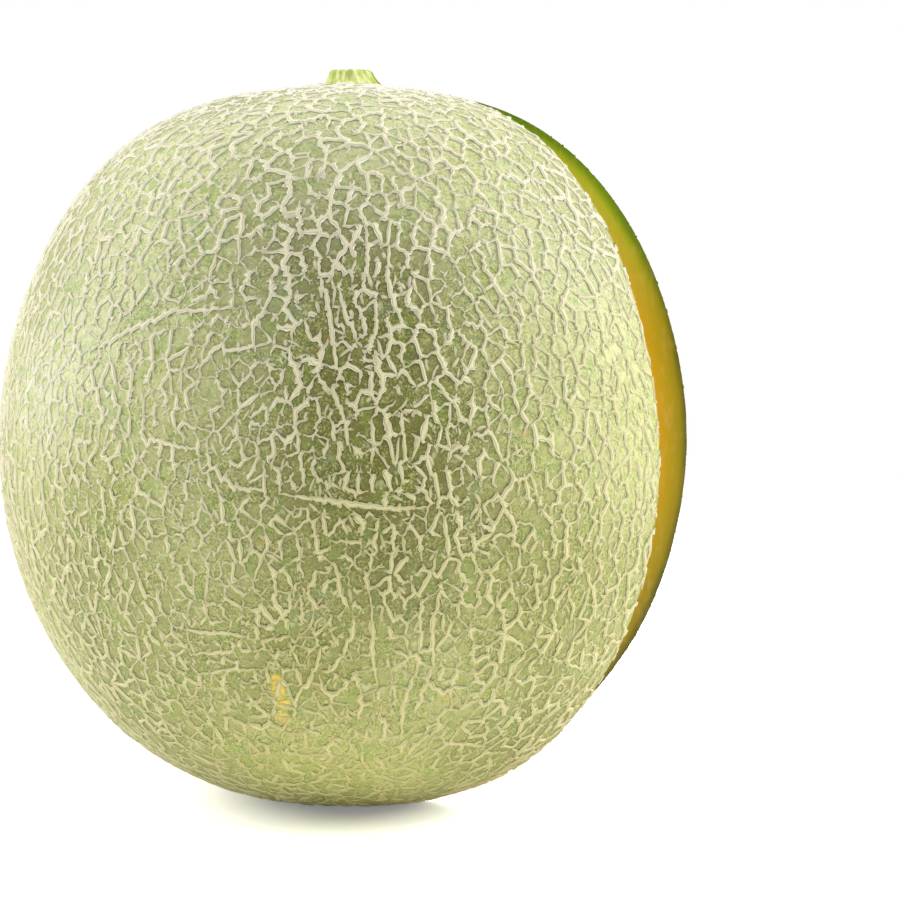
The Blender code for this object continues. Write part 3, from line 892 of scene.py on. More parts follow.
def cork_slivers(finish):
    """Loose slivers of cork on the skin between the cords, mostly upright. With u from -1 to 1 along a
    sliver, its half-width goes as (1 - u^2)^0.7 and its middle line bows aside as 1 - u^2. Its five
    lanes run from foot over lip, split and lip to foot."""
    rng = np.random.default_rng(NET_SEED + 9)
    middles, stout = sliver_middles(rng)
    count = len(middles)
    upward = unit([0.0, 0.0, 1.0] - middles[:, 2:] * middles)
    turn = rng.normal(0.0, SLIVER_TILT, (count, 1))
    along = np.cos(turn) * upward + np.sin(turn) * np.cross(middles, upward)
    across = np.cross(middles, along)
    half_length = 0.5 * between(SLIVER_LENGTHS, rng.random(count) ** 1.4)
    half_width = between(SLIVER_HALF_WIDTHS, rng.random(count)) * np.clip(stout, 0.80, 1.3)
    bow = SLIVER_BOW * half_length * rng.uniform(-1.0, 1.0, count)

    stations, bulge = len(SLIVER_STATIONS), 1.0 - SLIVER_STATIONS**2
    ragged = rng.uniform(1.0 - SLIVER_RAGGEDNESS, 1.0 + SLIVER_RAGGEDNESS, (count, stations))
    width = half_width[:, None] * (bulge**0.7 * ragged)
    x = np.repeat((half_length[:, None] * SLIVER_STATIONS)[..., None], 5, axis=2)
    y = width[..., None] * SLIVER_LANES + (bow[:, None] * bulge)[..., None]
    height = (SLIVER_HEIGHT_SHARE * cord_height(width) + SLIVER_LIFT)[..., None] * SLIVER_LIP
    tips, level = np.stack([-half_length, half_length], axis=1), np.zeros((count, 2))
    x = np.concatenate([x.reshape(count, -1), tips], axis=1) * MM / EQUATOR_RADIUS
    y = np.concatenate([y.reshape(count, -1), level], axis=1) * MM / EQUATOR_RADIUS
    height = np.concatenate([height.reshape(count, -1), level], axis=1)
    directions = middles[:, None] + x[..., None] * along[:, None] + y[..., None] * across[:, None]
    directions = unit(directions).reshape(-1, 3)

    cork = np.tile(np.append(np.tile([0.1, 1.0, 1.0, 1.0, 0.1], stations), [0.4, 0.4]), count)
    split = np.tile(np.append(np.tile([0.0, 0.0, 0.7, 0.0, 0.0], stations), [0.0, 0.0]), count)
    # Where the painted shadow along a sliver's foot goes.
    foot = np.tile(np.append(np.tile([1.0, 0.0, 0.0, 0.0, 1.0], stations), [0.5, 0.5]), count)
    values = painted(directions, cork, split, foot, np.zeros(len(cork)))
    triangles = (sliver_triangles() + x.shape[1] * np.arange(count)[:, None, None]).reshape(-1, 3)
    return build("cork_slivers", on_skin(directions, height.ravel()), triangles, finish, values)


# The cut flesh and the hollow.

HOLLOW_ROWS = 180
FACE_ROWS = 34
SKIN_TO_FLESH = 1.0 * MM
HOLLOW_COLUMNS = 150
SCOOP_DEPTH = 0.7 * MM
SCOOPS_AROUND = 15
SCOOPS_ALONG = 9
SCOOP_RIPPLE = 0.25 * MM
SCOOP_RIPPLE_SIZE = 5.0 * MM
KNIFE_WAVE = 0.05 * MM
KNIFE_WAVE_SIZE = 9.0 * MM
FACE_ROW_CROWDING = 1.5  # rows stand closer together under the rind


def hollow_points(polar, turn):
    """The wall of the seed hollow in these directions from the knife line's middle: the lobed oval,
    with the shallow crossing waves that a spoon leaves and finer fibres over them."""
    directions = knife_directions(polar, turn)
    reach = knife_reach(hollow_level, directions)
    waves = np.sin(SCOOPS_AROUND * turn) * np.sin(SCOOPS_ALONG * polar + turn)
    ripple = soft_noise(directions * HOLLOW_RADIUS, SCOOP_RIPPLE_SIZE, 81)
    reach = reach + np.sin(polar) * (SCOOP_DEPTH * waves + SCOOP_RIPPLE * ripple)
    return KNIFE_MIDDLE + reach[:, None] * directions


def ripe_depth(points):
    """How far points lie under the outline, in millimetres, measured towards the melon's middle."""
    length, reach = from_middle(points)
    return (reach - length) / MM


def knife_normal(sign):
    """Straight out of the cut face on the side of this sign."""
    return np.array([math.sin(HALF_WEDGE), -sign * math.cos(HALF_WEDGE), 0.0])


def knife_face(rim, sign, polar):
    """One cut face. Its rows run from the rind to the hollow: the first is the rind's own rim, the
    next ones follow the outline at growing depth and the last lies on the wall of the hollow."""
    turn = np.full(len(polar), sign * HALF_WEDGE)
    directions = knife_directions(polar, turn)
    outer = knife_reach(outline_level, directions) - SKIN_TO_FLESH
    wall = hollow_points(polar, turn)
    inner = np.linalg.norm(wall - KNIFE_MIDDLE, axis=1)
    shares = (np.arange(FACE_ROWS) / (FACE_ROWS - 1)) ** FACE_ROW_CROWDING
    reach = outer + shares[:, None] * (inner - outer)
    points = KNIFE_MIDDLE + reach[..., None] * directions
    normal = knife_normal(sign)
    wave = soft_noise(points.reshape(-1, 3), KNIFE_WAVE_SIZE, 91) * KNIFE_WAVE
    wave = wave.reshape(FACE_ROWS, -1) * np.sin(math.pi * shares)[:, None] * np.sin(polar)
    points = (points + wave[..., None] * normal).reshape(-1, 3)
    own_rim = rim[rim[:, 1] * sign > 0.0]
    own_rim = own_rim - (((own_rim - KNIFE_MIDDLE) @ normal)[:, None]) * normal
    from_line = np.hypot(own_rim[:, 0] - WEDGE_APEX_X, own_rim[:, 1])
    rim_polar = np.arctan2(from_line, own_rim[:, 2] - CENTRE_Z)
    order = np.argsort(rim_polar)
    ends = KNIFE_MIDDLE + np.array([outer[0], outer[-1]])[:, None] * directions[[0, -1]]
    rim_row = np.concatenate([ends[:1], own_rim[order], ends[1:]])
    rim_places = np.concatenate([[0.0], rim_polar[order], [math.pi]])
    points = np.concatenate([rim_row, points])
    strip = zipped(rim_places, polar, 0, len(rim_row))
    rest = grid_triangles(FACE_ROWS, len(polar), len(rim_row))
    triangles = np.concatenate([facing(points, strip, normal), facing(points, rest, normal)])
    return points, triangles


def cut_flesh(rim, finish):
    """Both cut faces and the wall of the hollow between them, as one surface."""
    polar = np.linspace(0.0, math.pi, HOLLOW_ROWS)
    parts = [knife_face(rim, sign, polar) for sign in (1.0, -1.0)]
    turns = np.linspace(HALF_WEDGE, 2.0 * math.pi - HALF_WEDGE, HOLLOW_COLUMNS)
    rows, columns = np.meshgrid(polar, turns, indexing="ij")
    wall = hollow_points(rows.ravel(), columns.ravel())
    triangles = grid_triangles(HOLLOW_ROWS, HOLLOW_COLUMNS)
    middles = wall[triangles].mean(axis=1)
    parts.append((wall, facing(wall, triangles, KNIFE_MIDDLE - middles)))
    points = np.concatenate([p for p, _ in parts])
    firsts = np.cumsum([0] + [len(p) for p, _ in parts[:-1]])
    triangles = np.concatenate([t + first for (_, t), first in zip(parts, firsts)])
    points, triangles, depth = welded(points, triangles, ripe_depth(points))
    return build("flesh", points, triangles, finish, {"depth": depth}, sharp_from=math.radians(35.0))


# The stub of the stalk.

STALK_FOOT_Z = TOP_Z - 0.75 * MM
STALK_TOP_Z = min(TOP_Z + 3.1 * MM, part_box("stem")[1].z)
STALK_COLUMNS = 150
STALK_ROWS = 26
STALK_TOP_ROWS = 9
STALK_FACET_ROWS = 7
STALK_TOP_RADIUS = 4.45 * MM
STALK_FOOT_FLARE = 2.6 * MM
STALK_FOOT_SHIFT = 1.1 * MM  # how far the stub's foot and top stand off the axis, towards +X
STALK_TOP_SHIFT = 0.5 * MM
STALK_RIBS = 5
STALK_RIB_DEPTH = 0.050  # as shares of the stub's radius
STALK_CORDS = 17
STALK_CORD_DEPTH = 0.020
STALK_ROUNDING = 0.45 * MM
STALK_ROUNDED_FROM = 0.84  # of its height
STALK_DISH = 0.25 * MM  # how far the cut across its top sinks within the edge
EDGE_STEPS = 12


def stalk_side(turn, share):
    """Points across the stub's side, as x and y: a waist that flares to its foot, with five rounded
    ribs and finer cords between them, a rounded top edge and a lean towards +X."""
    radius = STALK_TOP_RADIUS + STALK_FOOT_FLARE * (1.0 - share) ** 1.8
    ribs = STALK_RIB_DEPTH * np.cos(STALK_RIBS * turn + 0.6)
    cords = STALK_CORD_DEPTH * np.cos(STALK_CORDS * turn + 3.0 * share)
    rounding = smooth_step((share - STALK_ROUNDED_FROM) / (1.0 - STALK_ROUNDED_FROM)) ** 2
    radius = radius * (1.0 + ribs + cords) - STALK_ROUNDING * rounding
    shift = between((STALK_FOOT_SHIFT, STALK_TOP_SHIFT), share)
    return radius * np.cos(turn) + shift, radius * np.sin(turn)


def stalk_edge_turn(sign, share):
    """Where round the axis the stub's side meets a knife plane, found by steps that each take away
    what is missed: near there a turn moves the side off the plane by the radius over the cosine of
    the half-angle."""
    turn = np.full(len(share), sign * HALF_WEDGE)
    for _ in range(EDGE_STEPS):
        x, y = stalk_side(turn, share)
        miss = wedge_side(np.stack([x, y], axis=1))
        turn = turn - sign * miss * math.cos(HALF_WEDGE) / np.hypot(x, y)
    return turn


def stalk(finish):
    """The stub as one surface: its side, the cut across its top and the two facets of the notch."""
    share = np.linspace(0.0, 1.0, STALK_ROWS)
    height = STALK_FOOT_Z + share * (STALK_TOP_Z - STALK_FOOT_Z)
    first, last = stalk_edge_turn(1.0, share), 2.0 * math.pi + stalk_edge_turn(-1.0, share)
    turn = first[:, None] + np.linspace(0.0, 1.0, STALK_COLUMNS) * (last - first)[:, None]
    x, y = stalk_side(turn, share[:, None])
    side = np.stack([x, y, np.repeat(height[:, None], STALK_COLUMNS, axis=1)], axis=-1)
    line = np.stack([np.full(STALK_ROWS, WEDGE_APEX_X), np.zeros(STALK_ROWS), height], axis=-1)
    inward = np.linspace(0.0, 1.0, STALK_TOP_ROWS)[:, None, None]
    top = side[-1] + inward * (line[-1] - side[-1])
    top[..., 2] -= STALK_DISH * smooth_step(3.0 * inward[..., 0]) * (1.0 - inward[..., 0] ** 3)
    grids = [(side, None), (top, np.array([0.0, 0.0, 1.0]))]
    for column, sign in ((0, 1.0), (-1, -1.0)):
        edge = side[:, column]
        facet = edge + np.linspace(0.0, 1.0, STALK_FACET_ROWS)[:, None, None] * (line - edge)
        grids.append((facet, knife_normal(sign)))
    points = np.concatenate([grid.reshape(-1, 3) for grid, _ in grids])
    start, triangles = 0, []
    for grid, towards in grids:
        part, faces = grid.reshape(-1, 3), grid_triangles(*grid.shape[:2])
        if towards is None:
            towards = part[faces].mean(axis=1) * [1.0, 1.0, 0.0]
        triangles.append(start + facing(part, faces, towards))
        start += len(part)
    triangles = np.concatenate(triangles)
    cut = (np.arange(len(points)) >= x.size).astype(float)
    return build("stalk", points, triangles, finish, {"cut": cut}, sharp_from=math.radians(40.0))


# Materials.


def linear(hex_colour):
    """An sRGB hex colour as the linear numbers that a shader takes."""
    parts = [int(hex_colour[k : k + 2], 16) / 255.0 for k in (1, 3, 5)]
    curve = [p / 12.92 if p <= 0.04045 else ((p + 0.055) / 1.055) ** 2.4 for p in parts]
    return (*curve, 1.0)


def frequency(size_mm):
    """A texture's scale for a pattern of this size, on coordinates in metres."""
    return 1.0 / (size_mm * MM)


# Settings that many nodes share: colours mixed, colours multiplied, and a range with soft ends.
COLOURS = {"data_type": "RGBA"}
MULTIPLIED = {"data_type": "RGBA", "blend_type": "MULTIPLY"}
SMOOTH = {"interpolation_type": "SMOOTHSTEP"}


def add(tree, kind, sockets=None, stops=(), **settings):
    """Adds one node with its settings. A socket takes a value, a hex colour or a link, which is another
    node's socket, or the node for the first of its outputs in use. A colour ramp takes its stops in
    rising order."""
    made = tree.nodes.new(kind)
    for name, value in settings.items():
        setattr(made, name, value)
    for name, value in (sockets or {}).items():
        if isinstance(value, bpy.types.Node):
            value = next(output for output in value.outputs if output.enabled)
        if isinstance(value, bpy.types.NodeSocket):
            tree.links.new(value, made.inputs[name])
        else:
            made.inputs[name].default_value = linear(value) if isinstance(value, str) else value
    if stops:
        ramp = made.color_ramp.elements
        ramp.remove(ramp[1])
        ramp[0].position = stops[0][0]
        ramp[0].color = linear(stops[0][1])
        for place, colour in stops[1:]:
            ramp.new(place).color = linear(colour)
    return made


def new_material(name):
    made = bpy.data.materials.new(name)
    made.use_nodes = True
    made.node_tree.nodes.clear()
    return made, made.node_tree


# Blots laid one over another on the skin: their size in millimetres, the noise at which one starts and
# is full, its strength, and its colour.

SKIN_BLOTS = (
    (6.0, 0.50, 0.66, 0.45, "#8CA548"),  # grass green
    (9.0, 0.56, 0.70, 0.35, "#A3B48C"),  # blue-green bloom
    (2.2, 0.54, 0.64, 0.50, "#7E9434"),  # small green shadows
    (3.6, 0.64, 0.74, 0.60, "#C8983A"),  # orange
    (1.2, 0.50, 0.64, 0.45, "#708838"),  # small dark flecks
    (1.4, 0.54, 0.68, 0.45, "#DADDAA"),  # small pale flecks
)
SKIN_CLOUD_SIZE = 28.0
# Grains on the skin, dark where their noise is low and pale where it is high: the noise at which one
# starts and is full, its strength, and its colour. They are drawn coarser than real, so that they show.
GRAIN_SIZE = 0.42
GRAIN_PATCH_SIZE = 6.0
GRAINS = ((0.50, 0.40, 0.75, "#4F6426"), (0.54, 0.64, 0.65, "#D6D37C"))
PORE_SIZE = 1.5
CORK_WEAR_SIZE = 3.5
CORK_CRUMB_SIZE = 0.45
# Tints across a cord, from its lip inwards: white on the lip, a tan band that is tan colour and painted
# shade in the groove, then pale.
SPLIT_TAN_AND_SHADE = ((0.06, "#FFFFFF"), (0.24, "#BCB990"), (0.50, "#F3F1DE"))


def skin_ground(tree, place, dark, warm):
    """(the skin's own colour, how deep its shade is): pale green, straw on the warm side, and olive
    where the skin is dark, by as much as slow noise adds to it."""
    sockets = {"Vector": place, "Scale": frequency(SKIN_CLOUD_SIZE), "Detail": 3.0}
    slow = add(tree, "ShaderNodeTexNoise", sockets)
    depth = add(tree, "ShaderNodeMath", {0: slow, 1: 0.5, 2: dark}, operation="MULTIPLY_ADD")
    shade = add(tree, "ShaderNodeMapRange", {0: depth, 1: 0.20, 2: 1.25}, **SMOOTH)
    pale = add(tree, "ShaderNodeMix", {0: warm, 6: "#DAE0B2", 7: "#CDCB7A"}, **COLOURS)
    return add(tree, "ShaderNodeMix", {0: shade, 6: pale, 7: "#666020"}, **COLOURS), shade


def blotted(tree, place, colour):
    """The colour with each kind of blot over it where a noise of its own is high."""
    for number, (size, low, high, strength, tint) in enumerate(SKIN_BLOTS):
        sockets = {"Vector": place, "W": float(number), "Scale": frequency(size)}
        sockets.update({"Detail": 4.0, "Roughness": 0.6})
        cloud = add(tree, "ShaderNodeTexNoise", sockets, noise_dimensions="4D")
        share = add(tree, "ShaderNodeMapRange", {0: cloud, 1: low, 2: high, 4: strength}, **SMOOTH)
        colour = add(tree, "ShaderNodeMix", {0: share, 6: colour, 7: tint}, **COLOURS)
    return colour


def grain(tree, place, shade):
    """(the grains' noise, how grainy the skin is): in patches, and more so in the shade."""
    sockets = {"Vector": place, "Scale": frequency(GRAIN_SIZE), "Detail": 3.0, "Roughness": 0.65}
    grains = add(tree, "ShaderNodeTexNoise", sockets)
    sockets = {"Vector": place, "Scale": frequency(GRAIN_PATCH_SIZE), "Detail": 2.0}
    patches = add(tree, "ShaderNodeTexNoise", sockets)
    patchy = add(tree, "ShaderNodeMapRange", {0: patches, 1: 0.38, 2: 0.56, 3: 0.35}, **SMOOTH)
    shaded = add(tree, "ShaderNodeMapRange", {0: shade, 3: 0.55, 4: 1.0})
    return grains, add(tree, "ShaderNodeMath", {0: patchy, 1: shaded}, operation="MULTIPLY")


def grained(tree, colour, grains, grainy):
    """The colour with dark and pale grains over it."""
    for low, high, strength, tint in GRAINS:
        share = add(tree, "ShaderNodeMapRange", {0: grains, 1: low, 2: high, 4: strength})
        share = add(tree, "ShaderNodeMath", {0: share, 1: grainy}, operation="MULTIPLY")
        colour = add(tree, "ShaderNodeMix", {0: share, 6: colour, 7: tint}, **COLOURS)
    return colour


def pored(tree, place, colour):
    """The colour with pale breathing pores: a dot in half of the cells of an uneven pattern."""
    cells = add(tree, "ShaderNodeTexVoronoi", {"Vector": place, "Scale": frequency(PORE_SIZE)})
    dot = add(tree, "ShaderNodeMapRange", {0: cells, 1: 0.20, 2: 0.10, 4: 0.45})
    draw = add(tree, "ShaderNodeSeparateColor", {0: cells.outputs["Color"]})
    chosen = add(tree, "ShaderNodeMath", {0: draw, 1: 0.5}, operation="GREATER_THAN")
    share = add(tree, "ShaderNodeMath", {0: dot, 1: chosen}, operation="MULTIPLY")
    return add(tree, "ShaderNodeMix", {0: share, 6: colour, 7: "#DFE3BC"}, **COLOURS)


def with_painted_foot_shadow(tree, colour, foot, shade):
    """Painted shadow: the colour darkened along the foot of each cord, more so where the skin is olive.
    """
    strength = add(tree, "ShaderNodeMapRange", {0: shade, 3: 0.10, 4: 0.90})
    line = add(tree, "ShaderNodeMapRange", {0: foot, 1: 0.45, 2: 1.0})
    share = add(tree, "ShaderNodeMath", {0: line, 1: strength}, operation="MULTIPLY")
    # The painted shadow's tint, multiplied into the skin's colour.
    return add(tree, "ShaderNodeMix", {0: share, 6: colour, 7: "#ABAE6C"}, **MULTIPLIED)


def cork_colour(tree, place, split, warm):
    """Dry cork: nearly white, duller where it is worn, yellow on the warm side and tan with painted
    shade in the split.
    """
    sockets = {"Vector": place, "Scale": frequency(CORK_WEAR_SIZE), "Detail": 3.0}
    worn = add(tree, "ShaderNodeTexNoise", sockets)
    wear = add(tree, "ShaderNodeMapRange", {0: worn, 1: 0.40, 2: 0.75})
    fresh = add(tree, "ShaderNodeMix", {0: warm, 6: "#F4F1EA", 7: "#D9D399"}, **COLOURS)
    old = add(tree, "ShaderNodeMix", {0: warm, 6: "#ECE8DC", 7: "#CFC98A"}, **COLOURS)
    cork = add(tree, "ShaderNodeMix", {0: wear, 6: fresh, 7: old}, **COLOURS)
    across = add(tree, "ShaderNodeValToRGB", {"Fac": split}, stops=SPLIT_TAN_AND_SHADE)
    return add(tree, "ShaderNodeMix", {0: 1.0, 6: cork, 7: across}, **MULTIPLIED)


def rind_material():
    """Melon rind: satin green skin, split by a net of dry cream cork. The skin is blotted with green,
    olive and orange, grainy in places, dotted with pale breathing pores and darkened by a painted
    shadow along the foot of each cord; the cork is dull, pale on its lips and tan with painted shade in
    the split down the middle."""
    made, tree = new_material("netted_melon_rind")
    place = add(tree, "ShaderNodeTexCoord").outputs["Object"]
    net = add(tree, "ShaderNodeAttribute", attribute_name="net")
    cork_level, split, foot = add(tree, "ShaderNodeSeparateColor", {0: net}).outputs
    skin = add(tree, "ShaderNodeAttribute", attribute_name="skin")
    yellow, warm, _ = add(tree, "ShaderNodeSeparateColor", {0: skin}).outputs

    ground, shade = skin_ground(tree, place, net.outputs["Alpha"], warm)
    grains, grainy = grain(tree, place, shade)
    beaded = grained(tree, blotted(tree, place, ground), grains, grainy)
    # The skin darkened by a painted shadow along the cords' feet.
    green = with_painted_foot_shadow(tree, pored(tree, place, beaded), foot, shade)
    ripe = add(tree, "ShaderNodeMath", {0: yellow, 1: 0.95}, operation="MULTIPLY")
    skin_colour = add(tree, "ShaderNodeMix", {0: ripe, 6: green, 7: "#EAC94C"}, **COLOURS)
    is_cork = add(tree, "ShaderNodeMapRange", {0: cork_level, 1: 0.14, 2: 0.34}, **SMOOTH)
    sockets = {0: is_cork, 6: skin_colour, 7: cork_colour(tree, place, split, warm)}
    colour = add(tree, "ShaderNodeMix", sockets, **COLOURS)

    sockets = {"Vector": place, "Scale": frequency(CORK_CRUMB_SIZE), "Detail": 2.0, "Roughness": 0.6}
    crumbs = add(tree, "ShaderNodeTexNoise", sockets)
    crumbs = add(tree, "ShaderNodeMath", {0: crumbs, 1: is_cork}, operation="MULTIPLY")
    relief = add(tree, "ShaderNodeMath", {0: grains, 1: grainy, 2: crumbs}, operation="MULTIPLY_ADD")
    bump = add(tree, "ShaderNodeBump", {"Height": relief, "Strength": 0.4, "Distance": 0.14 * MM})
    rough = add(tree, "ShaderNodeMapRange", {0: is_cork, 3: 0.52, 4: 0.80})
    sockets = {"Base Color": colour, "Roughness": rough, "Normal": bump, "IOR": 1.42}
    shader = add(tree, "ShaderNodeBsdfPrincipled", sockets)
    add(tree, "ShaderNodeOutputMaterial", {"Surface": shader})
    return made


# The flesh's colour at growing depth under the rind, in millimetres: beside the widest part, and near
# the stalk, where it is less ripe.

FLESH_DEPTH = 40.0
RIPE_BANDS = (
    (0.0, "#4A5400"),
    (1.0, "#696B00"),
    (2.0, "#968B00"),
    (3.5, "#A89900"),
    (6.5, "#C4A406"),
    (10.0, "#F09A3C"),
    (24.0, "#F0914A"),
    (FLESH_DEPTH, "#EE8230"),
)
YOUNG_BANDS = (
    (0.0, "#5A8002"),
    (1.5, "#6E9404"),
    (2.2, "#88A60C"),
    (3.2, "#B0BC28"),
    (6.0, "#C8BE40"),
    (12.0, "#EDA446"),
    (24.0, "#F0914A"),
    (FLESH_DEPTH, "#EE8230"),
)
RIPE_BELOW = CENTRE_Z + 0.25 * POLE_RADIUS
YOUNG_ABOVE = CENTRE_Z + 0.75 * POLE_RADIUS
FLESH_FIBRE_SIZE = 1.6
FLESH_DRIFT_SIZE = 14.0


def flesh_material():
    """Ripe muskmelon flesh, cut with a knife and scooped with a spoon: moist and a little translucent,
    orange inside, running through yellow and green to dark green just under the skin, with pale
    fibres."""
    made, tree = new_material("cut_melon_flesh")
    place = add(tree, "ShaderNodeTexCoord").outputs["Object"]
    depth = add(tree, "ShaderNodeAttribute", attribute_name="depth").outputs["Fac"]
    sockets = {"Vector": place, "Scale": frequency(FLESH_DRIFT_SIZE), "Detail": 2.0}
    wander = add(tree, "ShaderNodeTexNoise", sockets)
    drift = add(tree, "ShaderNodeMapRange", {0: wander, 3: -0.7, 4: 0.7})
    moved = add(tree, "ShaderNodeMath", {0: depth, 1: drift}, operation="ADD")
    share = add(tree, "ShaderNodeMath", {0: moved, 1: FLESH_DEPTH}, operation="DIVIDE")
    bands = []
    for rows in (RIPE_BANDS, YOUNG_BANDS):
        stops = [(deep / FLESH_DEPTH, tint) for deep, tint in rows]
        bands.append(add(tree, "ShaderNodeValToRGB", {"Fac": share}, stops=stops))
    height = add(tree, "ShaderNodeSeparateXYZ", {0: place}).outputs[2]
    near_stalk = add(tree, "ShaderNodeMapRange", {0: height, 1: RIPE_BELOW, 2: YOUNG_ABOVE}, **SMOOTH)
    banded = add(tree, "ShaderNodeMix", {0: near_stalk, 6: bands[0], 7: bands[1]}, **COLOURS)
    upright = add(tree, "ShaderNodeMapping", {"Vector": place, "Scale": (1.0, 1.0, 0.35)})
    sockets = {"Vector": upright, "Scale": frequency(FLESH_FIBRE_SIZE), "Detail": 4.0, "Roughness": 0.6}
    fibre = add(tree, "ShaderNodeTexNoise", sockets)
    pale = add(tree, "ShaderNodeMapRange", {0: fibre, 1: 0.52, 2: 0.72, 4: 0.14})
    colour = add(tree, "ShaderNodeMix", {0: pale, 6: banded, 7: "#F5C77E"}, **COLOURS)
    bump = add(tree, "ShaderNodeBump", {"Height": fibre, "Strength": 0.35, "Distance": 0.25 * MM})
    sockets = {
        "Base Color": colour,
        "Roughness": 0.34,
        "IOR": 1.36,
        "Subsurface Weight": 0.25,
        "Subsurface Radius": (1.0, 0.45, 0.18),
        "Subsurface Scale": 3.0 * MM,
        "Normal": bump,
    }
    shader = add(tree, "ShaderNodeBsdfPrincipled", sockets)
    add(tree, "ShaderNodeOutputMaterial", {"Surface": shader})
    return made


STALK_CORD_SIZE = 1.5
STALK_SPOT_SIZE = 2.2
STALK_SKIN_TINTS = ((0.36, "#A3B34C"), (0.50, "#C6CE78"), (0.66, "#E0E4AC"))
STALK_CUT_TINTS = ((0.36, "#5F9A14"), (0.48, "#B9C23A"))


def stalk_material():
    """Fresh stalk: soft green outside with pale cords running up it, yellow-green where it is cut."""
    made, tree = new_material("fresh_melon_stalk")
    place = add(tree, "ShaderNodeTexCoord").outputs["Object"]
    cut = add(tree, "ShaderNodeAttribute", attribute_name="cut").outputs["Fac"]
    upright = add(tree, "ShaderNodeMapping", {"Vector": place, "Scale": (1.0, 1.0, 0.22)})
    sockets = {"Vector": upright, "Scale": frequency(STALK_CORD_SIZE), "Detail": 2.0, "Roughness": 0.55}
    cords = add(tree, "ShaderNodeTexNoise", sockets)
    outside = add(tree, "ShaderNodeValToRGB", {"Fac": cords}, stops=STALK_SKIN_TINTS)
    sockets = {"Vector": place, "Scale": frequency(STALK_SPOT_SIZE), "Detail": 2.0}
    spots = add(tree, "ShaderNodeTexNoise", sockets)
    inside = add(tree, "ShaderNodeValToRGB", {"Fac": spots}, stops=STALK_CUT_TINTS)
    colour = add(tree, "ShaderNodeMix", {0: cut, 6: outside, 7: inside}, **COLOURS)
    bump = add(tree, "ShaderNodeBump", {"Height": cords, "Strength": 0.5, "Distance": 0.3 * MM})
    sockets = {
        "Base Color": colour,
        "Roughness": 0.50,
        "IOR": 1.42,
        "Subsurface Weight": 0.15,
        "Subsurface Radius": (0.6, 0.8, 0.2),
        "Subsurface Scale": 1.5 * MM,
        "Normal": bump,
    }
    shader = add(tree, "ShaderNodeBsdfPrincipled", sockets)
    add(tree, "ShaderNodeOutputMaterial", {"Surface": shader})
    return made


# The studio: a white floor, a white surround, soft lights at both sides and above.

WHITE = (1.0, 1.0, 1.0, 1.0)
FLOOR_GIVES = (1.15, 1.15, 1.15, 1.0)  # what the white floor throws back on the melon
FLOOR_SEEN = (1.66, 1.66, 1.74, 1.0)  # overexposed, so that only the shadow by the melon shows
FLOOR_GLOW = 0.22  # added where the floor is seen, which keeps that shadow pale
FLOOR_FADE = (0.25, 0.75)  # from the origin, in metres
FLOOR_REACH = 1.2
WORLD_LIGHT = 0.27
# A light's name, its degrees round the melon from the camera's side and above it, its width and its
# height in metres, and its watts.
SOFTBOXES = (
    ("left_softbox", -98.0, 22.0, 0.40, 0.60, 7.4),
    ("right_softbox", 92.0, 24.0, 0.40, 0.60, 10.0),
    ("back_softbox", 180.0, 60.0, 0.80, 0.60, 4.4),
    ("top_softbox", -15.0, 60.0, 0.30, 0.25, 4.0),
)
SOFTBOX_DISTANCE = 1.0


def studio_floor():
    """A round white floor that fades out into the white surround."""
    made, tree = new_material("white_studio_floor")
    place = add(tree, "ShaderNodeTexCoord").outputs["Object"]
    distance = add(tree, "ShaderNodeVectorMath", {0: place}, operation="LENGTH").outputs["Value"]
    fade = add(tree, "ShaderNodeMapRange", {0: distance, 1: FLOOR_FADE[0], 2: FLOOR_FADE[1]}, **SMOOTH)
    path = add(tree, "ShaderNodeLightPath")
    paper = add(tree, "ShaderNodeBsdfDiffuse", {"Color": FLOOR_GIVES})
    bright = add(tree, "ShaderNodeBsdfDiffuse", {"Color": FLOOR_SEEN})
    glow = add(tree, "ShaderNodeEmission", {"Color": WHITE, "Strength": FLOOR_GLOW})
    seen = add(tree, "ShaderNodeAddShader", {0: bright, 1: glow})
    lit = add(tree, "ShaderNodeMixShader", {0: path.outputs["Is Camera Ray"], 1: paper, 2: seen})
    clear = add(tree, "ShaderNodeBsdfTransparent")
    both = add(tree, "ShaderNodeMixShader", {0: fade, 1: lit, 2: clear})
    add(tree, "ShaderNodeOutputMaterial", {"Surface": both})
    mesh = bpy.data.meshes.new("floor")
    corners = [(x * FLOOR_REACH, y * FLOOR_REACH, 0.0) for x, y in ((-1, -1), (1, -1), (1, 1), (-1, 1))]
    mesh.from_pydata(corners, [], [(0, 1, 2, 3)])
    mesh.materials.append(made)
    floor = bpy.data.objects.new("floor", mesh)
    bpy.context.scene.collection.objects.link(floor)


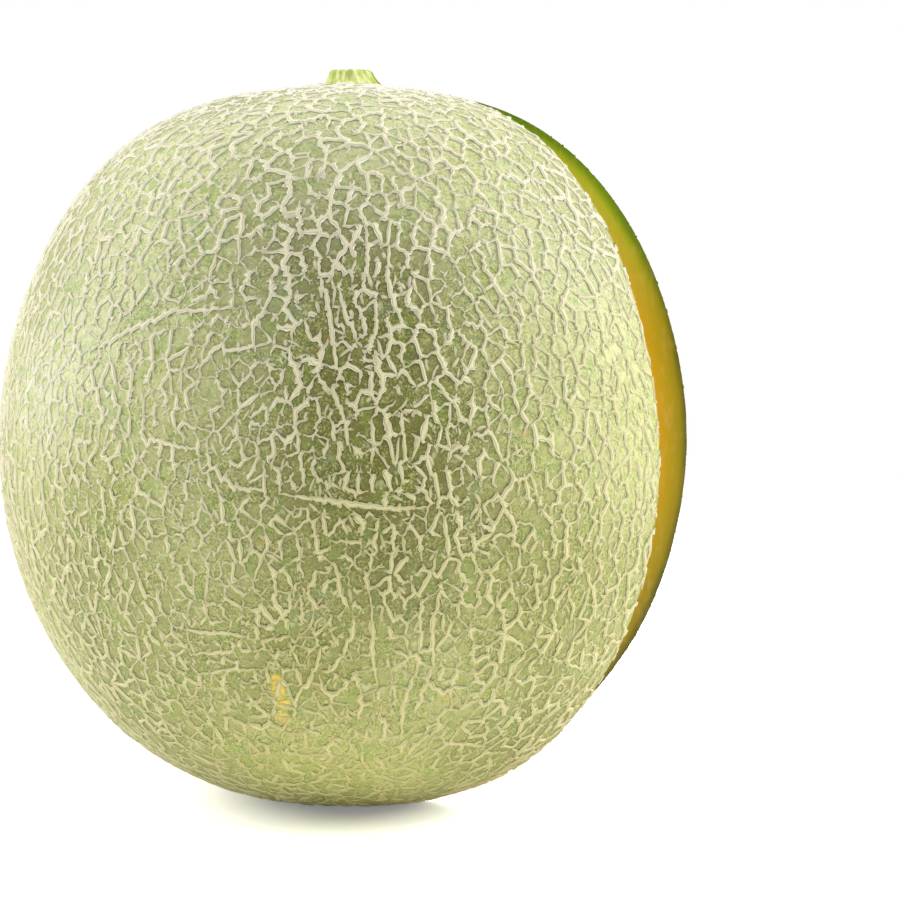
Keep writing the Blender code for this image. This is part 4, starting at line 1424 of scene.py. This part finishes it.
def studio_world():
    """A white surround: seen as white, while only a dim even light comes from it."""
    world = bpy.data.worlds.new("white_surround")
    world.use_nodes = True
    tree = world.node_tree
    tree.nodes.clear()
    path = add(tree, "ShaderNodeLightPath")
    seen = add(tree, "ShaderNodeBackground", {"Color": WHITE, "Strength": 1.0})
    light = add(tree, "ShaderNodeBackground", {"Color": WHITE, "Strength": WORLD_LIGHT})
    both = add(tree, "ShaderNodeMixShader", {0: path.outputs["Is Camera Ray"], 1: light, 2: seen})
    add(tree, "ShaderNodeOutputWorld", {"Surface": both})
    bpy.context.scene.world = world


def aimed(name, data, place, forward):
    """A camera or a light at this place, looking along this direction."""
    obj = bpy.data.objects.new(name, data)
    obj.location = Vector(place)
    obj.rotation_mode = "QUATERNION"
    obj.rotation_quaternion = Vector(forward).to_track_quat("-Z", "Y")
    bpy.context.scene.collection.objects.link(obj)
    return obj


def studio_lights():
    """Soft rectangular lights that face the melon."""
    for name, azimuth, elevation, width, height, watts in SOFTBOXES:
        back = from_front(CAMERA_AZIMUTH + math.radians(azimuth), math.radians(elevation))
        data = bpy.data.lights.new(name, "AREA")
        data.shape = "RECTANGLE"
        data.size = width
        data.size_y = height
        data.energy = watts
        aimed(name, data, CENTRE + SOFTBOX_DISTANCE * back, -back)


def studio_camera():
    place, forward, _, _ = camera_axes()
    data = bpy.data.cameras.new("camera")
    data.lens = LENS_MM
    data.sensor_width = SENSOR_MM
    bpy.context.scene.camera = aimed("camera", data, place, forward)


rind_finish = rind_material()
rinds, knife_rim = netted_rind(rind_finish)
for rind in rinds:
    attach(rind, "root")
    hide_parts("melon")
flesh = cut_flesh(knife_rim, flesh_material())
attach(flesh, "root")
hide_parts("melon")
specks = cork_slivers(rind_finish)
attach(specks, "root")
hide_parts("melon")
stub = stalk(stalk_material())
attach(stub, "root")
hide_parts("stem")

studio_floor()
studio_world()
studio_camera()
studio_lights()
bpy.context.scene.view_settings.view_transform = "Standard"
bpy.context.scene.view_settings.look = "None"
